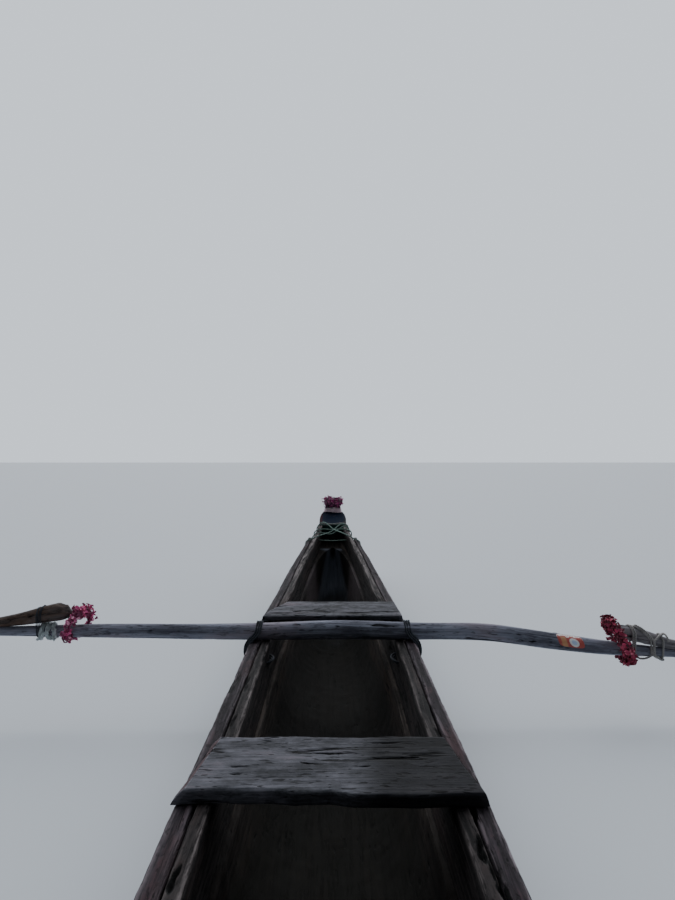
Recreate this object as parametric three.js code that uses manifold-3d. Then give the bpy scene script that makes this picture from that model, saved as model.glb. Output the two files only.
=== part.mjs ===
// Outrigger canoe: a dugout log raised by side planks, with two booms across it. Each boom end
// carries a bent arm, and each pair of arms holds a plank float beside the hull.
// Millimetres, +Z up, +Y towards the bow, +X to starboard.
// The origin is on the centreline at the waterline, amidships.

import * as THREE from "three";
import { mergeVertices } from "three/addons/utils/BufferGeometryUtils.js";
import Module from "manifold-3d";

const wasm = await Module();
wasm.setup();

// Clearance left between two pieces that bear on each other, and how far a rope flattens on wood
const SEAT_GAP = 0.3;
const ROPE_BEDDING = 2;
const DEGREE = Math.PI / 180;
const SIDES = { port: -1, starboard: 1 };

// Hull lines: half breadth and height of the top outer corner of the side planks, the height of
// the joint where they stand on the log, and the underside of the log
const HULL_LINES = [
  // y, halfBreadth, sheer, split, keel
  [-3700, 15, 470, 400, 250],
  [-3500, 66, 449, 360, 95],
  [-3200, 118, 422, 300, -40],
  [-2700, 182, 378, 225, -135],
  [-2000, 243, 340, 168, -180],
  [-1200, 283, 321, 142, -190],
  [-200, 285, 320, 140, -190],
  [800, 281, 320, 140, -190],
  [1500, 251, 334, 156, -182],
  [2300, 207, 387, 214, -152],
  [2800, 163, 439, 277, -100],
  [3300, 116, 506, 362, 10],
  [3740, 90, 578, 452, 190],
  [3960, 15, 617, 500, 330],
];
const HULL_STEP = 290; // distance between the sections that a long piece is made of
const SHORTEST_SPAN = 15; // least distance from a piece's end to the next section
const FLARE = 0.036; // how far the side planks lean out, for each mm of half breadth

// Dugout log
const LOG_WALL = 38;
const LOG_FLOOR = 50;
const LOG_ARC_STEPS = 7; // facets from the top edge down to the keel
const END_FULLNESS = 1.5; // exponent of a near V section
const MID_FULLNESS = 2.6; // exponent of the round bottom amidships
const HOLLOW_END = { aft: -3080, fore: 3150 };
const HOLLOW_ROUND = 430; // length over which each end of the hollow closes
const CLOSING_PARTS = [0.35, 0.6, 0.8, 0.92, 0.98]; // places of the sections in that length

// Side planks, which have a thicker lip along the top
const LIP_WIDTH = 36;
const LIP_DEPTH = 45;
const LIP_CHAMFER = 6;
const PLANK_THICKNESS = 25;
const PLANK_END = { aft: -3060, fore: 3290 };
const BOARDS = [
  // name, from, to. The joints lie under the middle and the forward thwart.
  ["aft", PLANK_END.aft, -655],
  ["mid", -655, 945],
  ["fore", 945, PLANK_END.fore],
];

// Rails along the outside of the side planks
const RAIL_WIDTH = 44;
const RAIL_TIP_WIDTH = 30;
const RAIL_TAPER_FROM = 1500;
const RAIL_DEPTH = 57;
const RAIL_ROUND = 10;
const RAIL_END = { aft: -2780, fore: 2900 };
const RAIL_LENGTHS = [
  // name, from, to. The joint lies under the middle thwart.
  ["aft", RAIL_END.aft, -655],
  ["fore", -655, RAIL_END.fore],
];

// Stem head that stands up from the bow block
const STEM_HEAD = { y: 3748, length: 92, halfWidth: 72, topHalfWidth: 64, sink: 12, top: 646 };

// Thwarts: plank outlines seen from above, and their thickness. Corners run clockwise from aft port.
const THWARTS = [
  {
    name: "thwart_forward",
    thickness: 28,
    corners: [[-316, 802], [-292, 905], [-221, 1082], [300, 1086], [313, 800]],
  },
  {
    name: "thwart_middle",
    thickness: 33,
    corners: [[-340, -798], [-322, -655], [-304, -514], [286, -512], [303, -650], [327, -800]],
  },
  {
    name: "thwart_aft",
    thickness: 32,
    corners: [[-272, -2655], [-276, -2510], [-284, -2362], [280, -2360], [274, -2500], [264, -2658]],
  },
];
const THWART_CHAMFER = 4;

// Booms: natural poles laid across the gunwales. Height is over the gunwale they rest on.
const BOOMS = {
  fore: {
    y: 520,
    // x, height, radius
    rows: [
      [-1550, 31, 17],
      [-1340, 34, 19],
      [-950, 35, 27],
      [-300, 31.5, 33],
      [0, 37, 36],
      [300, 32, 34],
      [620, 25, 33],
      [890, -11, 31],
      [1060, -32, 28],
      [1377, -58, 18],
      [1550, -70, 16],
    ],
  },
  aft: {
    y: -1950,
    rows: [
      [-1550, 14, 17],
      [-1340, 22, 19],
      [-900, 34, 28],
      [-270, 31, 33],
      [0, 38, 37],
      [270, 32, 34],
      [900, 33, 28],
      [1340, 16, 19],
      [1550, 6, 17],
    ],
  },
};

// Arms: crooked branches laid on a boom's end and bent down to the float
const ARMS = [
  {
    boom: "fore",
    side: "port",
    // outboard, z, radius
    rows: [
      [1045, 437, 36],
      [1120, 425, 33],
      [1240, 402, 25],
      [1340, 388, 19],
      [1510, 381, 18],
      [1650, 343, 19],
      [1765, 255, 20],
      [1838, 150, 20],
      [1866, 60, 19],
      [1886, -30, 16],
    ],
  },
  {
    boom: "fore",
    side: "starboard",
    rows: [
      [1128, 350, 31],
      [1240, 328, 27],
      [1377, 293, 20],
      [1510, 284, 18],
      [1650, 262, 19],
      [1765, 205, 20],
      [1838, 130, 20],
      [1867, 55, 19],
      [1886, -30, 16],
    ],
  },
  {
    boom: "aft",
    side: "port",
    rows: [
      [1060, 430, 34],
      [1160, 413, 30],
      [1260, 397, 24],
      [1360, 388, 19],
      [1510, 382, 18],
      [1650, 345, 19],
      [1765, 258, 20],
      [1838, 152, 20],
      [1866, 60, 19],
      [1886, -30, 16],
    ],
  },
  {
    boom: "aft",
    side: "starboard",
    rows: [
      [1080, 424, 33],
      [1170, 408, 29],
      [1270, 392, 23],
      [1360, 381, 19],
      [1510, 374, 18],
      [1650, 338, 19],
      [1765, 252, 20],
      [1838, 150, 20],
      [1866, 60, 19],
      [1886, -30, 16],
    ],
  },
];
const POLE_SIDES = 10;
const POLE_STEP = 115;
const ROPE_SIDES = 6;

// Floats: planks on edge, leaning outboard at the bottom, pointed and turned up at both ends
const FLOAT = {
  outboard: 1926,
  z: -20,
  leanDegrees: 12,
  thickness: 45,
  halfDepth: 100,
  aft: -2850,
  fore: 1400,
  tipLength: 480,
  tipRise: 28,
  tipHeight: 26,
  curveSteps: 6,
};

// Rope bundles and the holes they pass through. Ease is how far a bundle swings wide of a corner.
const ROPE_HOLE_RADIUS = 12;
const BOOM_ROPE = { radius: 9, holeReach: 62, holeDrop: 82, ease: 8 };
const FLOAT_ROPE = { radius: 7, holeReach: 39, holeDrop: 52, ease: 4 };
const BOW_ROPE = { y: 3110, radius: 9, holeDrop: 70, ease: 6 };
const WRAP_ARC_STEPS = 6;
const ARM_WRAPS = [
  // boom, side, name, inner and outer distance from the centreline, thickness of the turns
  ["fore", "port", "inner", 1078, 1178, 10],
  ["fore", "port", "outer", 1425, 1500, 8],
  ["fore", "starboard", "inner", 1204, 1336, 10],
  ["fore", "starboard", "outer", 1425, 1500, 8],
  ["aft", "port", "inner", 1110, 1200, 10],
  ["aft", "port", "outer", 1425, 1500, 8],
  ["aft", "starboard", "inner", 1130, 1220, 10],
  ["aft", "starboard", "outer", 1425, 1500, 8],
];

// Cloth band and flower garlands
const CLOTH = { thickness: 6, bottom: 574, top: 626 };
const BOW_GARLAND = { ring: 62, halfWidth: 27, halfHeight: 44, z: 672 };
const GARLAND_RING_STEPS = 18;
const GARLAND_PROFILE_STEPS = 8;
const ARM_GARLANDS = [
  // name, x, z, ring radius, half width of the flowers, tilt in degrees
  ["garland_port", -1016, 383, 56, 19, 24],
  ["garland_starboard", 1142, 313, 82, 20, -28],
];

// Colour, roughness and metalness of each material
const FINISHES = {
  log_wood: [0x2b1d18, 0.85, 0],
  plank_wood: [0x4a3b35, 0.85, 0],
  rail_wood: [0x5f4d44, 0.85, 0],
  thwart_wood: [0x77706a, 0.85, 0],
  pole_wood: [0x8a8079, 0.8, 0],
  arm_wood: [0x75614f, 0.85, 0],
  float_wood: [0x6d655e, 0.85, 0],
  bow_paint: [0x1f2a36, 0.6, 0],
  rope: [0xb7ab96, 0.9, 0],
  dark_rope: [0x3f4c55, 0.9, 0],
  green_rope: [0x3c7a68, 0.9, 0],
  rag: [0xb9c0bf, 0.95, 0],
  pink_cloth: [0xd9b9bd, 0.9, 0],
  flowers: [0xb72355, 0.7, 0],
};

// A closed solid from vertices and triangles, turned face outward
function solidFrom(vertices, triangles) {
  let sixVolumes = 0;
  for (const [a, b, c] of triangles) {
    sixVolumes += vertices[a].dot(vertices[b].clone().cross(vertices[c]));
  }
  const outward = sixVolumes > 0 ? triangles : triangles.map(([a, b, c]) => [a, c, b]);
  return new wasm.Manifold(
    new wasm.Mesh({
      numProp: 3,
      vertProperties: new Float32Array(vertices.flatMap((vertex) => vertex.toArray())),
      triVerts: new Uint32Array(outward.flat()),
    }),
  );
}

// A closed solid from a three.js geometry
function solidOf(geometry) {
  geometry.deleteAttribute("normal");
  geometry.deleteAttribute("uv");
  const merged = mergeVertices(geometry);
  return new wasm.Manifold(
    new wasm.Mesh({
      numProp: 3,
      vertProperties: merged.attributes.position.array,
      triVerts: new Uint32Array(merged.index.array),
    }),
  );
}

// A three.js geometry with flat faces from a solid
function geometryOf(solid) {
  const { numProp, vertProperties, triVerts } = solid.getMesh();
  const positions = new Float32Array(triVerts.length * 3);
  triVerts.forEach((vertex, corner) => {
    positions.set(vertProperties.subarray(vertex * numProp, vertex * numProp + 3), corner * 3);
  });
  const geometry = new THREE.BufferGeometry();
  geometry.setAttribute("position", new THREE.BufferAttribute(positions, 3));
  geometry.computeVertexNormals();
  return geometry;
}

// Triangles that fill a ring of points in ring order. A section that isn't convex lies in XZ.
function faceOf(ring, isConvex) {
  if (isConvex) {
    return ring.slice(2).map((_, i) => [0, i + 1, i + 2]);
  }
  const outline = ring.map((point) => new THREE.Vector2(point.x, point.z));
  const ringTurn = Math.sign(THREE.ShapeUtils.area(outline));
  return THREE.ShapeUtils.triangulateShape(outline, []).map(([a, b, c]) => {
    const turn = Math.sign(THREE.ShapeUtils.area([outline[a], outline[b], outline[c]]));
    return turn === ringTurn ? [a, b, c] : [c, b, a];
  });
}

// A solid that joins rings with equal numbers of points, as a loop or closed by end faces
function loft(rings, { isLoop = false, isConvex = true } = {}) {
  const count = rings[0].length;
  const triangles = [];
  const spans = isLoop ? rings.length : rings.length - 1;
  for (let span = 0; span < spans; span++) {
    const here = span * count;
    const there = ((span + 1) % rings.length) * count;
    for (let i = 0; i < count; i++) {
      const j = (i + 1) % count;
      triangles.push([here + i, here + j, there + j]);
      triangles.push([here + i, there + j, there + i]);
    }
  }
  if (!isLoop) {
    const last = (rings.length - 1) * count;
    for (const [a, b, c] of faceOf(rings[0], isConvex)) {
      triangles.push([c, b, a]);
      triangles.push([last + a, last + b, last + c]);
    }
  }
  return solidFrom(rings.flat(), triangles);
}

// A function that gives the other columns of a table at any value of its first column
function smoothTable(rows) {
  const columns = rows[0].length - 1;
  const curve = new THREE.CubicInterpolant(
    new Float32Array(rows.map((row) => row[0])),
    new Float32Array(rows.flatMap((row) => row.slice(1))),
    columns,
  );
  return (position) => Array.from(curve.evaluate(position));
}

// Evenly spaced values from start to end, both included
function stations(start, end, step) {
  const count = Math.max(1, Math.ceil(Math.abs(end - start) / step));
  return Array.from({ length: count + 1 }, (_, i) => THREE.MathUtils.lerp(start, end, i / count));
}

const STERN_TIP = HULL_LINES[0][0];
const BOW_TIP = HULL_LINES[HULL_LINES.length - 1][0];
const SECTION_PLACES = stations(STERN_TIP, BOW_TIP, HULL_STEP);
const SECTIONS = SECTION_PLACES.map(smoothTable(HULL_LINES));

// Sizes of the hull's cross section at one place along the boat. Every piece of the hull is
// straight between the same sections, so that the pieces meet.
function hullAt(y) {
  const place = ((y - STERN_TIP) / (BOW_TIP - STERN_TIP)) * (SECTIONS.length - 1);
  const before = THREE.MathUtils.clamp(Math.floor(place), 0, SECTIONS.length - 2);
  const sizes = SECTIONS[before].map((size, i) =>
    THREE.MathUtils.lerp(size, SECTIONS[before + 1][i], place - before),
  );
  const [halfBreadth, sheer, split, keel] = sizes;
  return { halfBreadth, sheer, split, keel, foot: halfBreadth * (1 - FLARE) };
}

// Places of the sections of a piece of the hull, with its two ends
function sectionsBetween(from, to) {
  const between = SECTION_PLACES.filter((y) => y > from + SHORTEST_SPAN && y < to - SHORTEST_SPAN);
  return [from, ...between, to];
}

const BEAM_AMIDSHIPS = hullAt(0).halfBreadth;

// Points from one top edge round the underside to the other top edge, at one cross section
function bottomArc(y, halfWidth, top, bottom) {
  const roundness = hullAt(y).halfBreadth / BEAM_AMIDSHIPS;
  const power = 2 / THREE.MathUtils.lerp(END_FULLNESS, MID_FULLNESS, roundness);
  const points = [];
  for (let i = 0; i <= 2 * LOG_ARC_STEPS; i++) {
    const angle = ((i - LOG_ARC_STEPS) / LOG_ARC_STEPS) * (Math.PI / 2);
    const across = Math.sign(angle) * Math.abs(Math.sin(angle)) ** power;
    const down = Math.cos(angle) ** power;
    points.push(new THREE.Vector3(halfWidth * across, y, top - (top - bottom) * down));
  }
  return points;
}

// The log's outside, with a flat top where the side planks stand
function logOutside() {
  const rings = SECTION_PLACES.map((y) => {
    const { foot, split, keel } = hullAt(y);
    return bottomArc(y, foot, split, keel);
  });
  return loft(rings, { isConvex: false });
}

// The space cut out of the log, which closes in a round at each end
function logHollow() {
  const { aft, fore } = HOLLOW_END;
  const middle = (aft + fore) / 2;
  const halfLength = (fore - aft) / 2;
  const reach = halfLength - HOLLOW_ROUND;
  const straight = stations(-reach, reach, HULL_STEP);
  const closing = CLOSING_PARTS.map((part) => reach + HOLLOW_ROUND * part);
  const offsets = [...closing.map((offset) => -offset).reverse(), ...straight, ...closing];
  const rings = offsets.map((offset) => {
    const y = middle + offset;
    const { foot, split, keel } = hullAt(y);
    const past = Math.max(0, Math.abs(offset) - reach) / HOLLOW_ROUND;
    const closure = Math.sqrt(1 - past ** 2);
    const halfWidth = (foot - LOG_WALL) * closure;
    const bottom = split - (split - keel - LOG_FLOOR) * closure;
    const arc = bottomArc(y, halfWidth, split, bottom);
    const above = split + LOG_FLOOR;
    const portTop = new THREE.Vector3(-halfWidth, y, above);
    const starboardTop = new THREE.Vector3(halfWidth, y, above);
    return [portTop, ...arc, starboardTop];
  });
  return loft(rings, { isConvex: false });
}

// A side plank's board between two places, grown by a clearance where it is used as a cutter
function sidePlank(side, from = PLANK_END.aft, to = PLANK_END.fore, grow = 0) {
  const rings = sectionsBetween(from + SEAT_GAP, to - SEAT_GAP).map((y) => {
    const { halfBreadth, sheer, split, foot } = hullAt(y);
    const wall = halfBreadth - PLANK_THICKNESS;
    const outline = [
      [halfBreadth + grow, sheer + grow],
      [halfBreadth - LIP_WIDTH - grow, sheer + grow],
      [halfBreadth - LIP_WIDTH - grow, sheer - LIP_DEPTH],
      [wall - grow, sheer - LIP_DEPTH - LIP_CHAMFER],
      [foot - PLANK_THICKNESS - grow, split + SEAT_GAP - grow],
      [foot + grow, split + SEAT_GAP - grow],
    ];
    return outline.map(([x, z]) => new THREE.Vector3(side * x, y, z));
  });
  return loft(rings, { isConvex: false });
}

// A round cutter across the boat at one side
function ropeHole(side, y, z, fromX, toX) {
  const hole = new THREE.CylinderGeometry(ROPE_HOLE_RADIUS, ROPE_HOLE_RADIUS, toX - fromX, POLE_SIDES);
  hole.rotateZ(Math.PI / 2);
  hole.translate((side * (fromX + toX)) / 2, y, z);
  return solidOf(hole);
}

// Whole lengths of the rail and of the side planks, with the clearance of what bears on them
const railSeat = [RAIL_END.aft, RAIL_END.fore, SEAT_GAP];
const plankSeat = [PLANK_END.aft, PLANK_END.fore, SEAT_GAP];

// Heights and places of the rope holes through the side planks
function plankHoles() {
  const holes = Object.values(BOOMS).flatMap(({ y }) =>
    [-1, 1].map((end) => ({ y: y + end * BOOM_ROPE.holeReach, drop: BOOM_ROPE.holeDrop })),
  );
  return [...holes, { y: BOW_ROPE.y, drop: BOW_ROPE.holeDrop }];
}

// A board, or the seat that one side's boards give with a clearance, with the rope holes open
function drilledSidePlank(side, ...extent) {
  return plankHoles().reduce((plank, { y, drop }) => {
    const { halfBreadth, sheer } = hullAt(y);
    const hole = ropeHole(side, y, sheer - drop, halfBreadth - 2 * LIP_WIDTH, halfBreadth + LIP_WIDTH);
    return plank.subtract(hole);
  }, sidePlank(side, ...extent));
}

// A length of the rail along the outside of the side planks, slimmer towards the bow
function rail(side, from = RAIL_END.aft, to = RAIL_END.fore, grow = 0) {
  const rings = sectionsBetween(from + SEAT_GAP, to - SEAT_GAP).map((y) => {
    const { halfBreadth, sheer } = hullAt(y);
    const slimming = THREE.MathUtils.smoothstep(y, RAIL_TAPER_FROM, RAIL_END.fore);
    const inner = halfBreadth + SEAT_GAP - grow;
    const outer = halfBreadth + THREE.MathUtils.lerp(RAIL_WIDTH, RAIL_TIP_WIDTH, slimming) + grow;
    const outline = [
      [inner, sheer + grow],
      [inner, sheer - RAIL_DEPTH - grow],
      [outer - RAIL_ROUND, sheer - RAIL_DEPTH - grow],
      [outer, sheer - RAIL_DEPTH + RAIL_ROUND - grow],
      [outer, sheer + grow],
    ];
    return outline.map(([x, z]) => new THREE.Vector3(side * x, y, z));
  });
  return loft(rings);
}

// Solid end of the hull above the log, grown by a clearance where it is used as a cutter
function endBlock(from, to, grow = 0) {
  const rings = sectionsBetween(from, to).map((y) => {
    const { halfBreadth, sheer, split, foot } = hullAt(y);
    return [
      new THREE.Vector3(halfBreadth + grow, y, sheer + grow),
      new THREE.Vector3(-halfBreadth - grow, y, sheer + grow),
      new THREE.Vector3(-foot - grow, y, split + SEAT_GAP),
      new THREE.Vector3(foot + grow, y, split + SEAT_GAP),
    ];
  });
  return loft(rings);
}

// A tapered block around the stem head's faces, between two heights
function stemHead(grow, bottom, top) {
  const { y, length, halfWidth, topHalfWidth } = STEM_HEAD;
  const foot = hullAt(y).sheer;
  const rings = [bottom, top].map((z) => {
    const rise = (z - foot) / (STEM_HEAD.top - foot);
    const half = THREE.MathUtils.lerp(halfWidth, topHalfWidth, rise) + grow;
    const reach = length / 2 + grow;
    return [
      new THREE.Vector3(half, y - reach, z),
      new THREE.Vector3(half, y + reach, z),
      new THREE.Vector3(-half, y + reach, z),
      new THREE.Vector3(-half, y - reach, z),
    ];
  });
  return loft(rings);
}

function bowBlock() {
  const foot = hullAt(STEM_HEAD.y).sheer - STEM_HEAD.sink;
  return endBlock(PLANK_END.fore, BOW_TIP).add(stemHead(0, foot, STEM_HEAD.top));
}

// A thwart's plank with its underside at height zero
function thwartPlank({ corners, thickness }) {
  const outline = new THREE.Shape(corners.map(([x, y]) => new THREE.Vector2(x, y)));
  const geometry = new THREE.ExtrudeGeometry(outline, {
    depth: thickness - 2 * THWART_CHAMFER,
    bevelThickness: THWART_CHAMFER,
    bevelSize: THWART_CHAMFER,
    bevelOffset: -THWART_CHAMFER,
    bevelSegments: 1,
  });
  return geometry.translate(0, 0, THWART_CHAMFER);
}

// A round pole through rows of centre points and radii, grown all round and at its two ends by a
// clearance where it is used as a cutter
function pole(rows, grow = 0) {
  const centres = new THREE.CatmullRomCurve3(rows.map(({ centre }) => centre), false, "centripetal");
  const steps = Math.ceil(centres.getLength() / POLE_STEP);
  const radii = smoothTable(rows.map(({ radius }, i) => [i / (rows.length - 1), radius]));
  const frames = centres.computeFrenetFrames(steps, false);
  const rings = Array.from({ length: steps + 1 }, (_, step) => {
    const along = step / steps;
    const overrun = grow * (Math.sign(step - steps + 0.5) + Math.sign(step - 0.5)) / 2;
    const centre = centres.getPointAt(along).addScaledVector(frames.tangents[step], overrun);
    const [radius] = radii(centres.getUtoTmapping(along));
    return circle(centre, frames.normals[step], frames.binormals[step], radius + grow, POLE_SIDES);
  });
  return loft(rings);
}

// A ring of points about a centre, in the plane of two unit directions
function circle(centre, right, up, radius, sides) {
  return Array.from({ length: sides }, (_, i) => {
    const angle = (i / sides) * 2 * Math.PI;
    return centre
      .clone()
      .addScaledVector(right, radius * Math.cos(angle))
      .addScaledVector(up, radius * Math.sin(angle));
  });
}

function boomRows({ y, rows }) {
  const seat = hullAt(y).sheer;
  return rows.map(([x, height, radius]) => ({ centre: new THREE.Vector3(x, y, seat + height), radius }));
}

function armRows({ boom, side, rows }) {
  const sign = SIDES[side];
  const { y } = BOOMS[boom];
  return rows.map(([outboard, z, radius]) => ({ centre: new THREE.Vector3(sign * outboard, y, z), radius }));
}

// A closed bundle of rope turns through corner points
function ropeLoop(corners, radius) {
  const route = new THREE.CatmullRomCurve3(corners, true, "centripetal");
  const steps = 2 * corners.length;
  const frames = route.computeFrenetFrames(steps, true);
  const rings = Array.from({ length: steps }, (_, step) =>
    circle(route.getPointAt(step / steps), frames.normals[step], frames.binormals[step], radius, ROPE_SIDES),
  );
  return loft(rings, { isLoop: true });
}

// What is left of a solid beside the pieces that it bears on
function seatedOn(solid, neighbours) {
  return neighbours.reduce((rest, neighbour) => rest.subtract(neighbour), solid);
}

// Rope over a boom, down outside the rail, in through one hole and out through the other
function boomRope(boom, side) {
  const sign = SIDES[side];
  const { y, rows } = BOOMS[boom];
  const { radius, holeReach, holeDrop, ease } = BOOM_ROPE;
  const { halfBreadth, sheer } = hullAt(y);
  const [boomHeight, boomRadius] = smoothTable(rows)(sign * halfBreadth);
  const top = sheer + boomHeight + boomRadius + radius - ROPE_BEDDING;
  const outside = halfBreadth + RAIL_WIDTH + radius - ROPE_BEDDING;
  const inside = halfBreadth - PLANK_THICKNESS - radius;
  const halfRoute = [
    // x, distance from the boom's axis, z
    [halfBreadth + ease, 0, top],
    [halfBreadth + 2 * ease, boomRadius + ease, sheer + boomHeight],
    [outside, holeReach - ease, sheer - ease],
    [outside, holeReach, sheer - RAIL_DEPTH + ease],
    [halfBreadth + ease, holeReach, sheer - holeDrop],
    [halfBreadth - PLANK_THICKNESS / 2, holeReach, sheer - holeDrop],
    [inside, holeReach - 3 * ease, sheer - holeDrop],
  ];
  const forward = halfRoute.map(([x, reach, z]) => new THREE.Vector3(sign * x, y + reach, z));
  const back = halfRoute
    .slice(1)
    .reverse()
    .map(([x, reach, z]) => new THREE.Vector3(sign * x, y - reach, z));
  return seatedOn(ropeLoop([...forward, ...back], radius), [
    pole(boomRows(BOOMS[boom]), SEAT_GAP),
    rail(sign, ...railSeat),
    drilledSidePlank(sign, ...plankSeat),
  ]);
}

// Rope turns wound round a boom and the arm on it, from one distance outboard to another
function armWrap(arm, from, to, thickness) {
  const sign = SIDES[arm.side];
  const boomCentres = boomRows(BOOMS[arm.boom]);
  const boomAt = smoothTable(boomCentres.map(({ centre, radius }) => [centre.x, centre.z, radius]));
  const armAt = smoothTable(arm.rows);
  const { y } = BOOMS[arm.boom];
  const rings = stations(from, to, (to - from) / 2).map((outboard) => {
    const [boomZ, boomRadius] = boomAt(sign * outboard);
    const [armZ, armRadius] = armAt(outboard);
    const half = (centreZ, radius, startAngle) =>
      Array.from({ length: WRAP_ARC_STEPS + 1 }, (_, i) => {
        const angle = startAngle + (i / WRAP_ARC_STEPS) * Math.PI;
        const reach = radius + thickness;
        const rise = reach * Math.sin(angle);
        return new THREE.Vector3(sign * outboard, y + reach * Math.cos(angle), centreZ + rise);
      });
    return [...half(armZ, armRadius, 0), ...half(boomZ, boomRadius, Math.PI)];
  });
  return seatedOn(loft(rings), [pole(boomCentres, SEAT_GAP), pole(armRows(arm), SEAT_GAP)]);
}

// A float plank in place, grown by a clearance where it is used as a cutter
function floatPlank(side, grow = 0) {
  const { aft, fore, halfDepth, tipLength, tipRise, tipHeight, thickness, curveSteps } = FLOAT;
  const outline = new THREE.Shape();
  outline.moveTo(aft, halfDepth + tipRise);
  outline.quadraticCurveTo(aft + tipLength / 2, halfDepth, aft + tipLength, halfDepth);
  outline.lineTo(fore - tipLength, halfDepth);
  outline.quadraticCurveTo(fore - tipLength / 2, halfDepth, fore, halfDepth + tipRise);
  outline.lineTo(fore, halfDepth + tipRise - tipHeight);
  outline.quadraticCurveTo(fore - tipLength / 2, -halfDepth, fore - tipLength, -halfDepth);
  outline.lineTo(aft + tipLength, -halfDepth);
  outline.quadraticCurveTo(aft + tipLength / 2, -halfDepth, aft, halfDepth + tipRise - tipHeight);
  const plank = new THREE.ExtrudeGeometry(outline, {
    depth: thickness + 2 * grow,
    bevelEnabled: false,
    curveSegments: curveSteps,
  });
  plank.translate(0, 0, -thickness / 2 - grow);
  // The outline's x runs forward, its y up, and its thickness outboard
  plank.applyMatrix4(new THREE.Matrix4().makeBasis(axis.y, axis.z, axis.x));
  const holes = Object.values(BOOMS).flatMap(({ y }) => [y - FLOAT_ROPE.holeReach, y + FLOAT_ROPE.holeReach]);
  const drilled = holes.reduce((solid, y) => {
    const hole = ropeHole(1, y, halfDepth - FLOAT_ROPE.holeDrop, -2 * thickness, 2 * thickness);
    return solid.subtract(hole);
  }, solidOf(plank));
  return floatPlace(drilled, side);
}

const axis = {
  x: new THREE.Vector3(1, 0, 0),
  y: new THREE.Vector3(0, 1, 0),
  z: new THREE.Vector3(0, 0, 1),
};

// Leans a solid made about the origin like the float of one side, and sets it there
function floatPlace(solid, side) {
  return solid.rotate([0, -side * FLOAT.leanDegrees, 0]).translate([side * FLOAT.outboard, 0, FLOAT.z]);
}

// Rope round an arm's foot and through the float's two holes beside it
function floatRope(arm) {
  const sign = SIDES[arm.side];
  const { radius, holeReach, holeDrop, ease } = FLOAT_ROPE;
  const { y } = BOOMS[arm.boom];
  const z = FLOAT.halfDepth - holeDrop;
  const outer = FLOAT.thickness / 2 + radius - ROPE_BEDDING;
  const [, , footRadius] = arm.rows[arm.rows.length - 2];
  const halfRoute = [
    // x outboard of the float's middle plane, distance from the arm's axis
    [outer, 0],
    [outer - ease, holeReach - 2 * ease],
    [0, holeReach],
    [-outer, holeReach - ease],
    [-outer - footRadius, footRadius + radius],
    [-outer - 2 * footRadius, 0],
  ];
  const forward = halfRoute.map(([x, reach]) => new THREE.Vector3(sign * x, y + reach, z));
  const back = halfRoute
    .slice(1, -1)
    .reverse()
    .map(([x, reach]) => new THREE.Vector3(sign * x, y - reach, z));
  return seatedOn(floatPlace(ropeLoop([...forward, ...back], radius), sign), [
    floatPlank(sign, SEAT_GAP),
    pole(armRows(arm), SEAT_GAP),
  ]);
}

// Rope across the boat between the gunwales near the bow, over them and back below them
function bowRope() {
  const { y, radius, holeDrop, ease } = BOW_ROPE;
  const { halfBreadth, sheer } = hullAt(y);
  const over = sheer + radius - ROPE_BEDDING;
  const outside = halfBreadth + radius - ROPE_BEDDING;
  const halfRoute = [
    [0, over],
    [halfBreadth - LIP_WIDTH / 2, over],
    [outside, sheer - ease],
    [outside, sheer - holeDrop + 2 * ease],
    [halfBreadth - PLANK_THICKNESS / 2, sheer - holeDrop],
    [halfBreadth - LIP_WIDTH - 4 * ease, sheer - holeDrop - ease],
  ];
  const starboard = halfRoute.map(([x, z]) => new THREE.Vector3(x, y, z));
  const port = halfRoute
    .slice(1)
    .reverse()
    .map(([x, z]) => new THREE.Vector3(-x, y, z));
  const boards = Object.values(SIDES).map((side) => drilledSidePlank(side, ...plankSeat));
  return seatedOn(ropeLoop([...starboard, ...port], radius), boards);
}

// Cloth tied round the stem head
function bowCloth() {
  const { thickness, bottom, top } = CLOTH;
  const inside = stemHead(SEAT_GAP, bottom - thickness, top + thickness);
  const deck = endBlock(PLANK_END.fore, BOW_TIP, SEAT_GAP);
  return seatedOn(stemHead(thickness, bottom, top), [inside, deck]);
}

// A ring of flowers about the Z axis
function flowerRing(ringRadius, halfWidth, halfHeight) {
  const profile = Array.from({ length: GARLAND_PROFILE_STEPS + 1 }, (_, i) => {
    const angle = (i / GARLAND_PROFILE_STEPS) * 2 * Math.PI;
    return new THREE.Vector2(ringRadius + halfWidth * Math.cos(angle), halfHeight * Math.sin(angle));
  });
  const ring = new THREE.LatheGeometry(profile, GARLAND_RING_STEPS);
  ring.rotateX(Math.PI / 2);
  return ring;
}

function bowGarland() {
  const { ring, halfWidth, halfHeight, z } = BOW_GARLAND;
  const flowers = flowerRing(ring, halfWidth, halfHeight).translate(0, STEM_HEAD.y, z);
  const head = stemHead(SEAT_GAP, hullAt(STEM_HEAD.y).sheer, STEM_HEAD.top + SEAT_GAP);
  return solidOf(flowers).subtract(head);
}

// A garland hung over a boom and the butt of the arm on it
function armGarland(arm, x, z, ring, halfWidth, tilt) {
  const flowers = flowerRing(ring, halfWidth, halfWidth);
  flowers.rotateY(Math.PI / 2 + tilt * DEGREE);
  flowers.translate(x, BOOMS[arm.boom].y, z);
  const wraps = ARM_WRAPS.filter(([boom, side]) => boom === arm.boom && side === arm.side);
  return seatedOn(solidOf(flowers), [
    pole(boomRows(BOOMS[arm.boom]), SEAT_GAP),
    pole(armRows(arm), SEAT_GAP),
    ...wraps.map(([, , , from, to, thickness]) =>
      armWrap(arm, from - SEAT_GAP, to + SEAT_GAP, thickness + SEAT_GAP),
    ),
  ]);
}

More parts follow.
